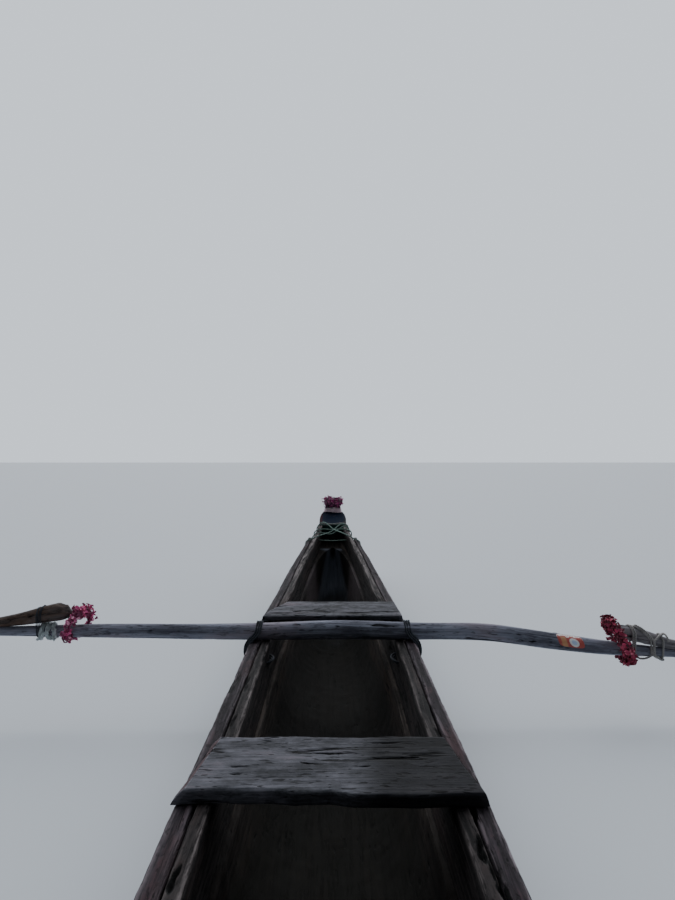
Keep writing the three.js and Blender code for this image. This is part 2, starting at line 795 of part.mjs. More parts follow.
// Boom laid on the gunwales, flattened where it bears on them
function seatedBoom(boom) {
  const { y } = BOOMS[boom];
  return seatedOn(pole(boomRows(BOOMS[boom])), [
    ...Object.values(SIDES).map((side) => rail(side, ...railSeat)),
    ...Object.values(SIDES).map((side) => sidePlank(side, ...plankSeat)),
  ]);
}

// Arm laid on its boom and against its float, flattened where it bears on them
function seatedArm(arm) {
  return seatedOn(pole(armRows(arm)), [
    pole(boomRows(BOOMS[arm.boom]), SEAT_GAP),
    floatPlank(SIDES[arm.side], SEAT_GAP),
  ]);
}

// One named piece of the canoe in its finish
function piece(name, finish, geometry) {
  const [color, roughness, metalness] = FINISHES[finish];
  const mesh = new THREE.Mesh(geometry, new THREE.MeshStandardMaterial({ color, roughness, metalness }));
  mesh.name = name;
  return mesh;
}

function hull() {
  const group = new THREE.Group();
  group.add(piece("hull_dugout", "log_wood", geometryOf(logOutside().subtract(logHollow()))));
  group.add(piece("bow_block", "bow_paint", geometryOf(bowBlock())));
  group.add(piece("stern_block", "log_wood", geometryOf(endBlock(STERN_TIP, PLANK_END.aft))));
  for (const [side, sign] of Object.entries(SIDES)) {
    for (const [place, from, to] of BOARDS) {
      const board = drilledSidePlank(sign, from, to);
      group.add(piece(`side_plank_${side}_${place}`, "plank_wood", geometryOf(board)));
    }
    for (const [place, from, to] of RAIL_LENGTHS) {
      group.add(piece(`gunwale_rail_${side}_${place}`, "rail_wood", geometryOf(rail(sign, from, to))));
    }
  }
  return group;
}

// Thwarts lie on the gunwales and follow their slope
function thwarts() {
  const group = new THREE.Group();
  for (const thwart of THWARTS) {
    const lengthwise = thwart.corners.map(([, y]) => y);
    const aft = Math.min(...lengthwise);
    const fore = Math.max(...lengthwise);
    const rise = hullAt(fore).sheer - hullAt(aft).sheer;
    const mesh = piece(thwart.name, "thwart_wood", thwartPlank(thwart));
    mesh.geometry.translate(0, -aft, 0);
    mesh.rotation.x = Math.atan2(rise, fore - aft);
    mesh.position.set(0, aft, hullAt(aft).sheer + SEAT_GAP);
    group.add(mesh);
  }
  return group;
}

function outriggers() {
  const group = new THREE.Group();
  for (const boom of Object.keys(BOOMS)) {
    group.add(piece(`boom_${boom}`, "pole_wood", geometryOf(seatedBoom(boom))));
    for (const side of Object.keys(SIDES)) {
      group.add(piece(`boom_lashing_${boom}_${side}`, "dark_rope", geometryOf(boomRope(boom, side))));
    }
  }
  for (const arm of ARMS) {
    const place = `${arm.boom}_${arm.side}`;
    group.add(piece(`arm_${place}`, "arm_wood", geometryOf(seatedArm(arm))));
    group.add(piece(`float_lashing_${place}`, "rope", geometryOf(floatRope(arm))));
  }
  for (const [boom, side, end, from, to, thickness] of ARM_WRAPS) {
    const arm = ARMS.find((candidate) => candidate.boom === boom && candidate.side === side);
    const finish = boom === "fore" && side === "port" && end === "inner" ? "rag" : "rope";
    const name = `arm_lashing_${boom}_${side}_${end}`;
    group.add(piece(name, finish, geometryOf(armWrap(arm, from, to, thickness))));
  }
  for (const [side, sign] of Object.entries(SIDES)) {
    group.add(piece(`float_${side}`, "float_wood", geometryOf(floatPlank(sign))));
  }
  return group;
}

function trimmings() {
  const group = new THREE.Group();
  group.add(piece("bow_lashing", "green_rope", geometryOf(bowRope())));
  group.add(piece("bow_cloth", "pink_cloth", geometryOf(bowCloth())));
  group.add(piece("garland_bow", "flowers", geometryOf(bowGarland())));
  for (const [name, ...sizes] of ARM_GARLANDS) {
    const arm = ARMS.find(({ boom, side }) => boom === "fore" && name.endsWith(side));
    group.add(piece(name, "flowers", geometryOf(armGarland(arm, ...sizes))));
  }
  return group;
}

const canoe = new THREE.Group();
canoe.add(hull(), thwarts(), outriggers(), trimmings());

export default canoe;
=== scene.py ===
# %% [markdown]
# # A double outrigger canoe, piece by piece
# A log is hollowed into a hull, boards raise its sides, two poles lie across it, and bent branches
# on the ends of the poles hold a plank float on each side. The measured solids of all these pieces
# are already packed as a frame. This lesson loads that frame and gives every piece its real
# surface: hewn and split wood, twisted rope, rags and flower petals.
#
# The frame is loaded first, because every later piece is placed by its numbers, in metres.

# %% The frame
import math

import bpy
import numpy as np
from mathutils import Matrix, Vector
from mathutils.bvhtree import BVHTree


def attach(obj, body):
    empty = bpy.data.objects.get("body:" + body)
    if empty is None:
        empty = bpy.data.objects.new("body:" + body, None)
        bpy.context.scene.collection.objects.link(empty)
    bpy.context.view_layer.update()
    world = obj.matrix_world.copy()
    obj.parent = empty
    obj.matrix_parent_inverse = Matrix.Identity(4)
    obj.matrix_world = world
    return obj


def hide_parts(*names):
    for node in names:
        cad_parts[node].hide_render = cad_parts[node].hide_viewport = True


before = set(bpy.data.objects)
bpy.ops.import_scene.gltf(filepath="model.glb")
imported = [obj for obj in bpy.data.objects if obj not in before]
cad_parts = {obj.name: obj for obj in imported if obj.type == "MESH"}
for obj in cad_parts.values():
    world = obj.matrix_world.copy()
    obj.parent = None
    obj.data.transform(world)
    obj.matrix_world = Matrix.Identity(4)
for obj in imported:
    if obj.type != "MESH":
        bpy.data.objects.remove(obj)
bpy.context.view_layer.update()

MM = 0.001


def linked(name, data):
    """A new object in the scene."""
    thing = bpy.data.objects.new(name, data)
    bpy.context.scene.collection.objects.link(thing)
    return thing


# %% [markdown]
# ## The camera
# The picture is taken over the aft thwart, 0.7 m above the gunwale, and looks along the boat. The
# two rails are parallel, so the point where they meet gives the tilt and the turn of the camera.
# It comes before the pieces, so that each of them can be judged through it.

# %% Camera
EYE = (0.0, -2.2, 1.04)
LOOK_UP = math.radians(0.763)
LOOK_TO_STARBOARD = math.radians(0.398)
LENS_MM = 27.04
FILM_MM = 36.0

camera_data = bpy.data.cameras.new("camera")
camera_data.sensor_width = FILM_MM
camera_data.lens = LENS_MM
camera_data.clip_start = 0.05
camera_data.clip_end = 200.0
camera = linked("camera", camera_data)
camera.location = EYE
camera.rotation_euler = (math.pi / 2 + LOOK_UP, 0.0, -LOOK_TO_STARBOARD)
bpy.context.scene.camera = camera
print("camera: eye", EYE, "lens", LENS_MM, "mm")

# %% [markdown]
# ## The hull's lines
# A boat is drawn as a few cross sections, and smooth curves run between them. A table with one row
# for each section holds the same sizes as the measured solids, and a cubic curve through each
# column gives the sizes anywhere else. All the hull's pieces ask this one table, so they meet.

# %% Smooth tables
def smooth_table(rows):
    """A function that gives the other columns of a table at any values of its first column."""
    table = np.array(rows, float)
    places, sizes = table[:, 0], table[:, 1:]
    slopes = np.gradient(sizes, places, axis=0)

    def at(place):
        place = np.clip(np.atleast_1d(place), places[0], places[-1])
        row = np.clip(np.searchsorted(places, place, side="right") - 1, 0, len(places) - 2)
        span = (places[row + 1] - places[row])[:, None]
        t = (place - places[row])[:, None] / span
        start = (1 + 2 * t) * (1 - t) ** 2 * sizes[row] + t * (1 - t) ** 2 * span * slopes[row]
        end = t**2 * (3 - 2 * t) * sizes[row + 1] + t**2 * (t - 1) * span * slopes[row + 1]
        return start + end

    return at


def mix(a, b, share):
    """A value between a and b."""
    return a + (b - a) * share


def smooth_step(value, low, high):
    """0 below low, 1 above high, and a soft slope between them."""
    t = np.clip((value - low) / (high - low), 0, 1)
    return t * t * (3 - 2 * t)


def stacked(*columns):
    """Points from their coordinates, each of them an array or one number."""
    return np.stack(np.broadcast_arrays(*columns), -1)


# %% Hull lines
HULL_LINES = [
    # y, half breadth, sheer, top of the log, keel, in mm
    (-3700, 15, 470, 400, 250),
    (-3500, 66, 449, 360, 95),
    (-3200, 118, 422, 300, -40),
    (-2700, 182, 378, 225, -135),
    (-2000, 243, 340, 168, -180),
    (-1200, 283, 321, 142, -190),
    (-200, 285, 320, 140, -190),
    (800, 281, 320, 140, -190),
    (1500, 251, 334, 156, -182),
    (2300, 207, 387, 214, -152),
    (2800, 163, 439, 277, -100),
    (3300, 116, 506, 362, 10),
    (3740, 90, 578, 452, 190),
    (3960, 15, 617, 500, 330),
]
FLARE = 0.036
STERN = HULL_LINES[0][0] * MM
STEM = HULL_LINES[-1][0] * MM
hull_table = smooth_table([[value * MM for value in row] for row in HULL_LINES])


def hull_at(y):
    """Half breadth, sheer, top of the log, keel and the boards' foot at places along the boat."""
    half_breadth, sheer, split, keel = hull_table(y).T
    return half_breadth, sheer, split, keel, half_breadth * (1 - FLARE)


def gunwale_at(y):
    """Half breadth and sheer at one place along the boat."""
    half_breadth, sheer = hull_at(y)[:2]
    return half_breadth[0], sheer[0]


HALF_BEAM = gunwale_at(0.0)[0]
print("beam over the boards:", round(2 * HALF_BEAM, 3), "m")


# %% [markdown]
# ## A place to stand
# The canoe floats, so the pale studio floor meets it at the waterline, at height zero. The hollow
# of the log reaches below that, so the floor has a hole just inside the log's skin: a ring of
# points on the waterline is joined to a far ring.

# %% Sections of the log
LOG_ROUNDNESS = (1.5, 2.6)


def roundness_at(y):
    """Exponent of the section's curve: near a V at the ends, full and round amidships."""
    return mix(*LOG_ROUNDNESS, hull_at(y)[0] / HALF_BEAM)


def section_arc(y, half_width, top, bottom, steps):
    """Points from one top edge round the underside to the other, for each place along the boat."""
    power = (2 / roundness_at(y))[:, None]
    angle = np.linspace(-np.pi / 2, np.pi / 2, steps + 1)[None, :]
    across = half_width[:, None] * np.sign(angle) * np.abs(np.sin(angle)) ** power
    up = top[:, None] - (top - bottom)[:, None] * np.abs(np.cos(angle)) ** power
    return stacked(across, y[:, None], up)


# %% Floor
FLOOR_REACH = 900.0
FLOOR_INSET = 0.012


def floor_mesh():
    """A wide flat ring round the hull's waterline."""
    y = np.linspace(STERN, STEM, 400)
    y = y[hull_at(y)[3] < -2 * MM]
    _, _, split, keel, foot = hull_at(y)
    power = roundness_at(y)
    half = foot * (1 - (split / (split - keel)) ** power) ** (1 / power)
    half = np.maximum(half - FLOOR_INSET, 0.5 * MM)
    inner = np.concatenate([stacked(half, y), stacked(-half, y)[::-1]])
    centre = inner.mean(axis=0)
    away = inner - centre
    angle = np.unwrap(np.arctan2(away[:, 1], away[:, 0]))
    outer = centre + FLOOR_REACH * stacked(np.cos(angle), np.sin(angle))
    points = stacked(*np.concatenate([inner, outer]).T, 0.0)
    count = len(inner)
    faces = [(i, count + i, count + (i + 1) % count, (i + 1) % count) for i in range(count)]
    mesh = bpy.data.meshes.new("floor")
    mesh.from_pydata(points.tolist(), [], faces)
    return mesh


floor = linked("floor", floor_mesh())
print("floor:", len(floor.data.polygons), "faces round the waterline")


# %% [markdown]
# ## Arithmetic on sockets
# A finish or a shape rule is a long sum of small nodes. One small class wraps a socket, so that the
# sum is written as a Python expression and each operator adds its Math node. A second class adds
# any other node. Both serve materials and Geometry Nodes, because the two share these nodes. A
# third class is a material: it starts from the shader and ends by feeding it.

# %% Sockets that can be added and multiplied
class Value:
    """One socket of a node tree, which plain arithmetic can be written on."""

    def __init__(self, graph, socket):
        self.graph = graph
        self.socket = socket

    def maths(self, operation, *others):
        """A Math node on this socket and any others."""
        inputs = dict(enumerate((self, *others)))
        return self.graph.node("ShaderNodeMath", {"operation": operation}, inputs)

    def __add__(self, other):
        return self.maths("ADD", other)

    def __sub__(self, other):
        return self.maths("SUBTRACT", other)

    def __rsub__(self, other):
        return self.graph.node("ShaderNodeMath", {"operation": "SUBTRACT"}, {0: other, 1: self})

    def __mul__(self, other):
        return self.maths("MULTIPLY", other)

    def __truediv__(self, other):
        return self.maths("DIVIDE", other)

    def __pow__(self, other):
        return self.maths("POWER", other)

    def __abs__(self):
        return self.maths("ABSOLUTE")

    __radd__ = __add__
    __rmul__ = __mul__


# %% Any other node
class Graph:
    """The nodes of one material or of one Geometry Nodes tree."""

    def __init__(self, tree):
        self.tree = tree

    def node(self, kind, settings=None, inputs=None, output=0):
        """Adds a node, sets it up, feeds its sockets, and gives one of its outputs."""
        made = self.tree.nodes.new(kind)
        for setting, value in (settings or {}).items():
            setattr(made, setting, value)
        for socket, value in (inputs or {}).items():
            self.feed(made.inputs[socket], value)
        return Value(self, made.outputs[output])

    def feed(self, socket, value):
        """Links a value to a socket, or writes a plain one there."""
        if isinstance(value, Value):
            self.tree.links.new(value.socket, socket)
        else:
            socket.default_value = value

    def clamped(self, value):
        return self.node("ShaderNodeClamp", None, {"Value": value})

    def rise(self, value, low, high):
        """0 below low, 1 above high, and a soft slope between them."""
        settings = {"interpolation_type": "SMOOTHSTEP"}
        return self.node("ShaderNodeMapRange", settings, {0: value, 1: low, 2: high, 3: 0.0, 4: 1.0})

    def vector(self, operation, a, b):
        return self.node("ShaderNodeVectorMath", {"operation": operation}, {0: a, 1: b})

    def parts(self, vector):
        """The three numbers of a vector."""
        split = self.node("ShaderNodeSeparateXYZ", None, {"Vector": vector}).socket.node
        return [Value(self, socket) for socket in split.outputs]

    def joined(self, x, y, z):
        return self.node("ShaderNodeCombineXYZ", None, {0: x, 1: y, 2: z})

    def scaled(self, vector, amount):
        """A vector or a colour times one number."""
        return self.vector("MULTIPLY", vector, self.joined(amount, amount, amount))

    def noise(self, vector, stretch, detail=2.0, roughness=0.5):
        """Soft random values round one half, at so many blotches a metre, alike or by axis."""
        if not isinstance(stretch, tuple):
            stretch = (stretch, stretch, stretch)
        spread = self.vector("MULTIPLY", vector, stretch)
        inputs = {"Vector": spread, "Scale": 1.0, "Detail": detail, "Roughness": roughness}
        return self.node("ShaderNodeTexNoise", None, inputs)

    def ripple(self, vector, stretch, detail):
        """The same noise round zero, from about -1 to 1."""
        return (self.noise(vector, stretch, detail) - 0.5) * 4.0

    @staticmethod
    def opaque(colour):
        return colour if isinstance(colour, Value) else (*colour, 1.0)

    def colours(self, share, a, b):
        """A colour between a and b."""
        inputs = {0: share, 6: self.opaque(a), 7: self.opaque(b)}
        return self.node("ShaderNodeMix", {"data_type": "RGBA"}, inputs, output=2)


# %% A finish is a material round one shader
class Finish(Graph):
    """The nodes of one material."""

    def __init__(self, name):
        self.material = bpy.data.materials.new(name)
        self.material.use_nodes = True
        super().__init__(self.material.node_tree)

    def fact(self, name, output="Fac"):
        """A number, or with output Vector three numbers, that a piece carries on its points."""
        return self.node("ShaderNodeAttribute", {"attribute_name": name}, None, output)

    def place(self):
        """Where a point of the surface lies, in metres."""
        return self.node("ShaderNodeTexCoord", None, None, "Object")

    def coat(self, colour, roughness, height=None, strength=0.7, more=None):
        """Feeds the shader: colour, roughness, fine relief and further sockets. Gives the material."""
        sockets = {"Base Color": self.opaque(colour), "Roughness": roughness, **(more or {})}
        if height is not None:
            relief = {"Strength": strength, "Distance": 1.0, "Height": height}
            sockets["Normal"] = self.node("ShaderNodeBump", None, relief)
        shader = self.tree.nodes["Principled BSDF"]
        for socket, value in sockets.items():
            self.feed(shader.inputs[socket], value)
        return self.material


floor.data.materials.append(Finish("studio_floor").coat((0.5, 0.53, 0.56), 0.9))
print("first finish:", floor.data.materials[0].name)


# %% [markdown]
# ## Light
# The light is that of a dull evening: the bright part is ahead and above, and behind the camera it
# is dimmer. So one very soft sun stands over the bow, and the pale world around it fades towards
# the stern. Faces that look aft, such as the thwarts' near edges, then stay dark. The backdrop
# itself stays one plain pale tone from every side.

# %% Studio light
SUN = {"turn": math.radians(-52), "width": math.radians(70), "power": 2.5, "colour": (0.98, 0.98, 1.0)}
WORLD = {"colour": (0.84, 0.91, 1.0), "dim": 0.12, "bright": 1.08, "slope": (-0.75, 0.6)}

sun = linked("soft_sun", bpy.data.lights.new("soft_sun", "SUN"))
sun.data.angle = SUN["width"]
sun.data.energy = SUN["power"]
sun.data.color = SUN["colour"]
sun.rotation_euler = (SUN["turn"], 0.0, 0.0)

world = bpy.data.worlds.new("studio")
bpy.context.scene.world = world
world.use_nodes = True
studio = Graph(world.node_tree)
ahead = studio.parts(studio.node("ShaderNodeTexCoord", None, None, "Generated"))[1]
glow = mix(WORLD["dim"], WORLD["bright"], studio.rise(ahead, *WORLD["slope"]))
seen = studio.node("ShaderNodeLightPath", None, None, "Is Camera Ray")
background = world.node_tree.nodes["Background"]
studio.feed(background.inputs["Color"], studio.opaque(WORLD["colour"]))
studio.feed(background.inputs["Strength"], mix(glow, WORLD["bright"], seen))
print("light: sun", SUN["power"], "and world from", WORLD["dim"], "to", WORLD["bright"])

# %% [markdown]
# ## Wood: one rule for shape and colour
# Every wooden piece carries facts on its points. `grain` is the place inside the tree: metres along
# the trunk, then the two directions across it. `wear` is 1 on edges that ropes and long use have
# rubbed, and 0 on the open faces; along the tops of the poles it is partly a painted highlight.
# `cut` is 1 where the end grain shows. `rot` grows from 0 where rot or old dirt has set in, and on
# the aft faces of the thwarts it carries painted shade. A drying crack is then a rule on the grain
# alone, so Geometry Nodes can sink it into the surface and the material can darken the very same
# line.

# %% Cracks, shared by shape and colour
CRACK_WIDTH = {"shape": 0.055, "colour": 0.036}


def crack_depth(graph, grain, density, width):
    """How deep a drying crack is, from 0 to 1: long thin wandering lines along the grain."""
    line = graph.noise(grain, (2.4, 33.0, 33.0), detail=3.0)
    near = 1.0 - graph.rise(abs(line - 0.5), width * 0.25, width)
    place = graph.noise(grain, (3.3, 10.0, 10.0), detail=1.0)
    return near * graph.rise(place, 0.78 - density, 0.86 - density)


def gouge_depth(graph, grain):
    """Short dark dents along the grain, left by the adze and by small knots that fell out."""
    dent = graph.noise(grain, (15.0, 62.0, 62.0), detail=1.0)
    place = graph.noise(grain, (4.5, 11.0, 11.0), detail=1.0)
    return graph.rise(dent, 0.63, 0.72) * graph.rise(place, 0.5, 0.58)


# %% Geometry Nodes trees
def new_tree(name, sizes):
    """A Geometry Nodes tree with named sizes. Gives its graph and its inputs by name."""
    tree = bpy.data.node_groups.new(name, "GeometryNodeTree")
    tree.is_modifier = True
    tree.interface.new_socket("Geometry", in_out="INPUT", socket_type="NodeSocketGeometry")
    for label, value in sizes.items():
        kind = "NodeSocketInt" if isinstance(value, int) else "NodeSocketFloat"
        tree.interface.new_socket(label, in_out="INPUT", socket_type=kind).default_value = value
    tree.interface.new_socket("Material", in_out="INPUT", socket_type="NodeSocketMaterial")
    tree.interface.new_socket("Geometry", in_out="OUTPUT", socket_type="NodeSocketGeometry")
    graph = Graph(tree)
    source = tree.nodes.new("NodeGroupInput")
    return graph, {socket.name: Value(graph, socket) for socket in source.outputs if socket.name}


def close_tree(graph, geometry, material):
    """Ends a tree in real geometry with its material."""
    real = graph.node("GeometryNodeRealizeInstances", None, {"Geometry": geometry})
    inputs = {"Geometry": real, "Material": material}
    finished = graph.node("GeometryNodeSetMaterial", None, inputs)
    sink = graph.tree.nodes.new("NodeGroupOutput")
    graph.tree.links.new(finished.socket, sink.inputs[0])
    return graph.tree


def grown(tree, name, mesh, material, **sizes):
    """The plain mesh that a tree makes from a mesh, as a new object."""
    source = linked(name + "_source", mesh)
    modifier = source.modifiers.new("rule", "NODES")
    modifier.node_group = tree
    given = {"Material": material, **{key.replace("_", " "): value for key, value in sizes.items()}}
    for item in tree.interface.items_tree:
        if item.in_out == "INPUT" and item.name in given:
            modifier[item.identifier] = given[item.name]
    depsgraph = bpy.context.evaluated_depsgraph_get()
    result = bpy.data.meshes.new_from_object(source.evaluated_get(depsgraph), depsgraph=depsgraph)
    bpy.data.objects.remove(source)
    return linked(name, result)


# %% The weathering tree
WELD = 1e-6


def weathering_tree():
    """Moves each point of a wooden piece along its normal: waves, fibres, cracks and dents.

    Points that lie on one another, as where the log's hollow closes, are welded first.
    """
    sizes = {
        "Waves": 0.002, "Fibres": 0.0006, "Crack depth": 0.004, "Crack density": 0.2,
        "Dents": 0.0025, "Adze": 0.0, "Wearing": 0.002,
    }
    graph, given = new_tree("weathering", sizes)
    named = "GeometryNodeInputNamedAttribute"
    grain = graph.node(named, {"data_type": "FLOAT_VECTOR"}, {"Name": "grain"})
    wear = graph.node(named, {"data_type": "FLOAT"}, {"Name": "wear"})
    waves = graph.ripple(grain, (2.0, 9.0, 9.0), detail=2.0)
    fibres = graph.ripple(grain, (7.0, 120.0, 120.0), detail=2.0)
    hollows = graph.ripple(grain, (11.0, 16.0, 16.0), detail=0.0)
    chips = graph.noise(grain, (24.0, 60.0, 60.0), detail=1.0)
    crack = crack_depth(graph, grain, given["Crack density"], CRACK_WIDTH["shape"])
    dent = gouge_depth(graph, grain)
    rise = waves * given["Waves"] + fibres * given["Fibres"] + abs(hollows) * given["Adze"]
    loss = crack * given["Crack depth"] + dent * given["Dents"] + wear * chips * given["Wearing"] * 2.0
    offset = graph.scaled(graph.node("GeometryNodeInputNormal"), rise - loss)
    welding = {"Geometry": given["Geometry"], "Distance": WELD}
    whole = graph.node("GeometryNodeMergeByDistance", None, welding)
    moved = graph.node("GeometryNodeSetPosition", None, {"Geometry": whole, "Offset": offset})
    return close_tree(graph, moved, given["Material"])


weathering = weathering_tree()
print("trees:", weathering.name, "with", len(weathering.nodes), "nodes")


# %% [markdown]
# ## Old wood as a material
# Sun and salt turn wood grey in fine streaks along the grain, and leave the harder summer wood
# proud. Rubbed edges are paler, cracks hold dirt and look black, ends of boards stay reddish, and
# wood near the waterline is dark with damp and weed. Light and shade are painted in too: the inner
# faces of the log and the boards are painted darker than the outer ones as painted shade, the tops
# of the poles carry a painted highlight, and the middle thwart has painted shade on its aft face and
# a painted shadow on its starboard half. One function writes this rule down, and each piece of the
# boat gets its own colours and strengths from a table.

# %% Rules for parts of a piece
CRACK_BLACK = (0.002, 0.002, 0.0022)
DAMP_AND_SHADE = {"colour": (0.0088, 0.009, 0.0075), "height": (0.0, 0.09)}
WET_AND_SHADOW = {"y": -0.65, "x": (0.0, 0.1), "away": (0.25, 0.3)}
INNER_KEEL = 3.0
BOW_HOLLOW = {
    # the inner wall's girth counts from INNER_KEEL, and each rule sets in between two values
    "upper_band": (0.22, 0.31), "band_from": (-0.65, -0.35), "band_to": (1.2, 1.9),
    "walls": (0.11, 0.22), "bow_from": (1.9, 2.4), "floor_to": (3.12, 3.15), "walls_to": (2.6, 2.85),
}


class WoodFinish(Finish):
    """The nodes of one wood, with the noises that its rules share."""

    def __init__(self, name, fine, blotch):
        super().__init__(name)
        self.grain = self.fact("grain", "Vector")
        sway = self.noise(self.grain, (1.6, 7.0, 7.0), detail=1.0) - 0.5
        self.swayed = self.vector("ADD", self.grain, self.joined(0.0, sway * 0.03, sway * 0.03))
        long, wide = (size * fine for size in blotch)
        streak_size = (2.2 * fine, 62.0 * fine, 62.0 * fine)
        self.streaks = self.noise(self.swayed, streak_size, detail=5.0, roughness=0.66)
        self.fibres = self.noise(self.swayed, (9.0, 230.0, 230.0), detail=4.0, roughness=0.6)
        self.patches = self.noise(self.grain, (2.6, 9.0, 9.0), detail=3.0)
        self.blotches = self.noise(self.grain, (long, wide, wide), detail=5.0, roughness=0.68)

    def uneven(self, amount):
        """A little to and fro, so that a border wanders."""
        return (self.patches - 0.5) * amount

    def wetted_and_shadowed(self, colour, strength):
        """Darker on the starboard half of the middle thwart: soaked wood, and a painted shadow as of a thing
        that stood there.
        """
        x, y, _ = self.parts(self.place())
        wet_shadow_share = self.rise(x + self.uneven(0.35) + (self.blotches - 0.5) * 0.1, *WET_AND_SHADOW["x"])
        near = 1.0 - self.rise(abs(y - WET_AND_SHADOW["y"]), *WET_AND_SHADOW["away"])
        return self.scaled(colour, 1.0 - wet_shadow_share * near * strength)

    def lined_and_lit(self, colour, inside, paints):
        """The log's inner wall: a band up high amidships painted lighter as painted light, and old paint and
        brown walls in the bow, bright enough to be partly painted light.
        """
        along, girth, _ = self.parts(self.grain)
        from_keel = abs(girth - INNER_KEEL) + self.uneven(0.08)
        # painted light: a band high on the hollow's walls amidships is made 2.5 times brighter, as where the
        # sky reaches in
        upper = self.rise(from_keel, *BOW_HOLLOW["upper_band"]) * self.rise(along, *BOW_HOLLOW["band_from"])
        upper = upper * (1.0 - self.rise(along, *BOW_HOLLOW["band_to"]))
        colour = self.scaled(colour, upper * inside * 1.5 + 1.0)
        # old blue grey paint on the bow's floor and brown wood on its walls, partly real and partly painted
        # light: bright enough to fill the dark end of the hollow
        forward = self.rise(along + self.uneven(0.6), *BOW_HOLLOW["bow_from"]) * inside
        walls = self.rise(from_keel, *BOW_HOLLOW["walls"])
        for share, end, paint in zip((1.0 - walls, walls), ("floor_to", "walls_to"), paints):
            share = share * forward * (1.0 - self.rise(along, *BOW_HOLLOW[end]))
            brushed = self.scaled(paint, 0.2 + self.blotches * 0.8 + self.streaks * 0.8)
            colour = self.colours(share * 0.9, colour, brushed)
        return colour

    def damped_and_shaded(self, colour, strength):
        """Dark with damp and weed up to a little over the waterline; inside the log's hollow this dark is
        also painted shade.
        """
        height = self.parts(self.place())[2] + self.uneven(0.12)
        return self.colours((1.0 - self.rise(height, *DAMP_AND_SHADE["height"])) * strength, colour, DAMP_AND_SHADE["colour"])


# %% Wood
def wood(name, dark, light, worn, warm, cracks=0.2, streak=1.0, warmth=0.5, edge=0.8, mottle=1.0,
         fine=1.0, blotch=(9.0, 26.0), nicks=0.0, damp=0.0, wet_shadow=0.0, painted_shade_split=None, bow_paint_and_light=None):
    """Weathered wood.

    The colours are those of grooves, open faces, rubbed edges and reddish patches. `blotch` says how
    many blotches stand on a metre along and across the grain, and `fine` multiplies their number and
    that of the streaks. The shade split is an axis of the grain, a border on it and the brightness
    beyond it, which paints the inner faces darker than the outer ones as painted shade. The bow's
    setting holds the paints of the bow's hollow, on its floor and on its walls, partly painted light.
    """
    graph = WoodFinish(name, fine, blotch)
    streaks, fibres, patches, blotches = graph.streaks, graph.fibres, graph.patches, graph.blotches
    wear, cut, rot = (graph.fact(fact) for fact in ("wear", "cut", "rot"))
    mottling = ((patches - 0.5) * 1.3 + (blotches - 0.5)) * mottle
    tone = (streaks - 0.5) * streak * 2.8 + mottling + (fibres - 0.5) * (0.4 + 0.5 * streak) + 0.5
    colour = graph.colours(graph.clamped(tone), dark, light)
    reddish = graph.rise(patches * 0.55 + blotches * 0.25 + streaks * 0.2, 0.49, 0.6) * warmth
    colour = graph.colours(graph.clamped(reddish), colour, warm)
    rubbed = graph.clamped(wear * edge * 1.15 * graph.rise(streaks * 0.6 + blotches * 0.4, 0.4, 0.6))
    colour = graph.colours(rubbed, colour, worn)
    colour = graph.colours(graph.clamped(cut * 0.75), colour, graph.scaled(warm, 0.55 + fibres))
    crack = crack_depth(graph, graph.grain, cracks, CRACK_WIDTH["colour"])
    dent = gouge_depth(graph, graph.grain)
    nick = graph.rise(graph.noise(graph.swayed, (34.0, 115.0, 115.0), detail=1.0), 0.62, 0.69) * nicks
    split = (1.0 - graph.rise(abs(streaks - 0.47), 0.004, 0.022)) * graph.rise(blotches, 0.42, 0.56) * streak
    # rot also carries the painted shade of the thwarts' aft faces; rot pockets and that shade turn towards
    # black
    marks = (dent * 0.85 + nick * 0.75) * graph.clamped(1.0 - rot * 2.3)
    black = graph.clamped(crack + marks + split * 0.7 + graph.rise(rot + streaks * 0.4, 0.45, 0.75))
    colour = graph.colours(black, colour, CRACK_BLACK)
    # soaked wood and a painted shadow on the middle thwart's starboard half
    if wet_shadow:
        colour = graph.wetted_and_shadowed(colour, wet_shadow)
    # painted shade: past a border on one axis of the grain the colour is made brighter or darker, so the
    # inner faces of the log and the boards stay darker than their outer faces
    if painted_shade_split:
        axis, border, brightness = painted_shade_split
        beyond = graph.rise(graph.parts(graph.grain)[axis], border - 0.1, border + 0.1)
        colour = graph.scaled(colour, beyond * (brightness - 1.0) + 1.0)
    # the bow's hollow: old paint that is partly painted light
    if bow_paint_and_light:
        colour = graph.lined_and_lit(colour, beyond, bow_paint_and_light)
    # damp and weed near the waterline, and in the log's hollow painted shade as well
    if damp:
        colour = graph.damped_and_shaded(colour, damp)
    height = streaks * (0.0022 * streak) + fibres * 0.0013 + blotches * 0.0022 - crack * 0.004
    height = height - dent * 0.002 - split * 0.0012 - nick * 0.0015
    roughness = graph.clamped(0.72 + fibres * 0.3 - rubbed * 0.14)
    colour = graph.scaled(colour, 0.7 + fibres * 0.6)
    return graph.coat(colour, roughness, height, 0.9, {"Specular IOR Level": 0.1})


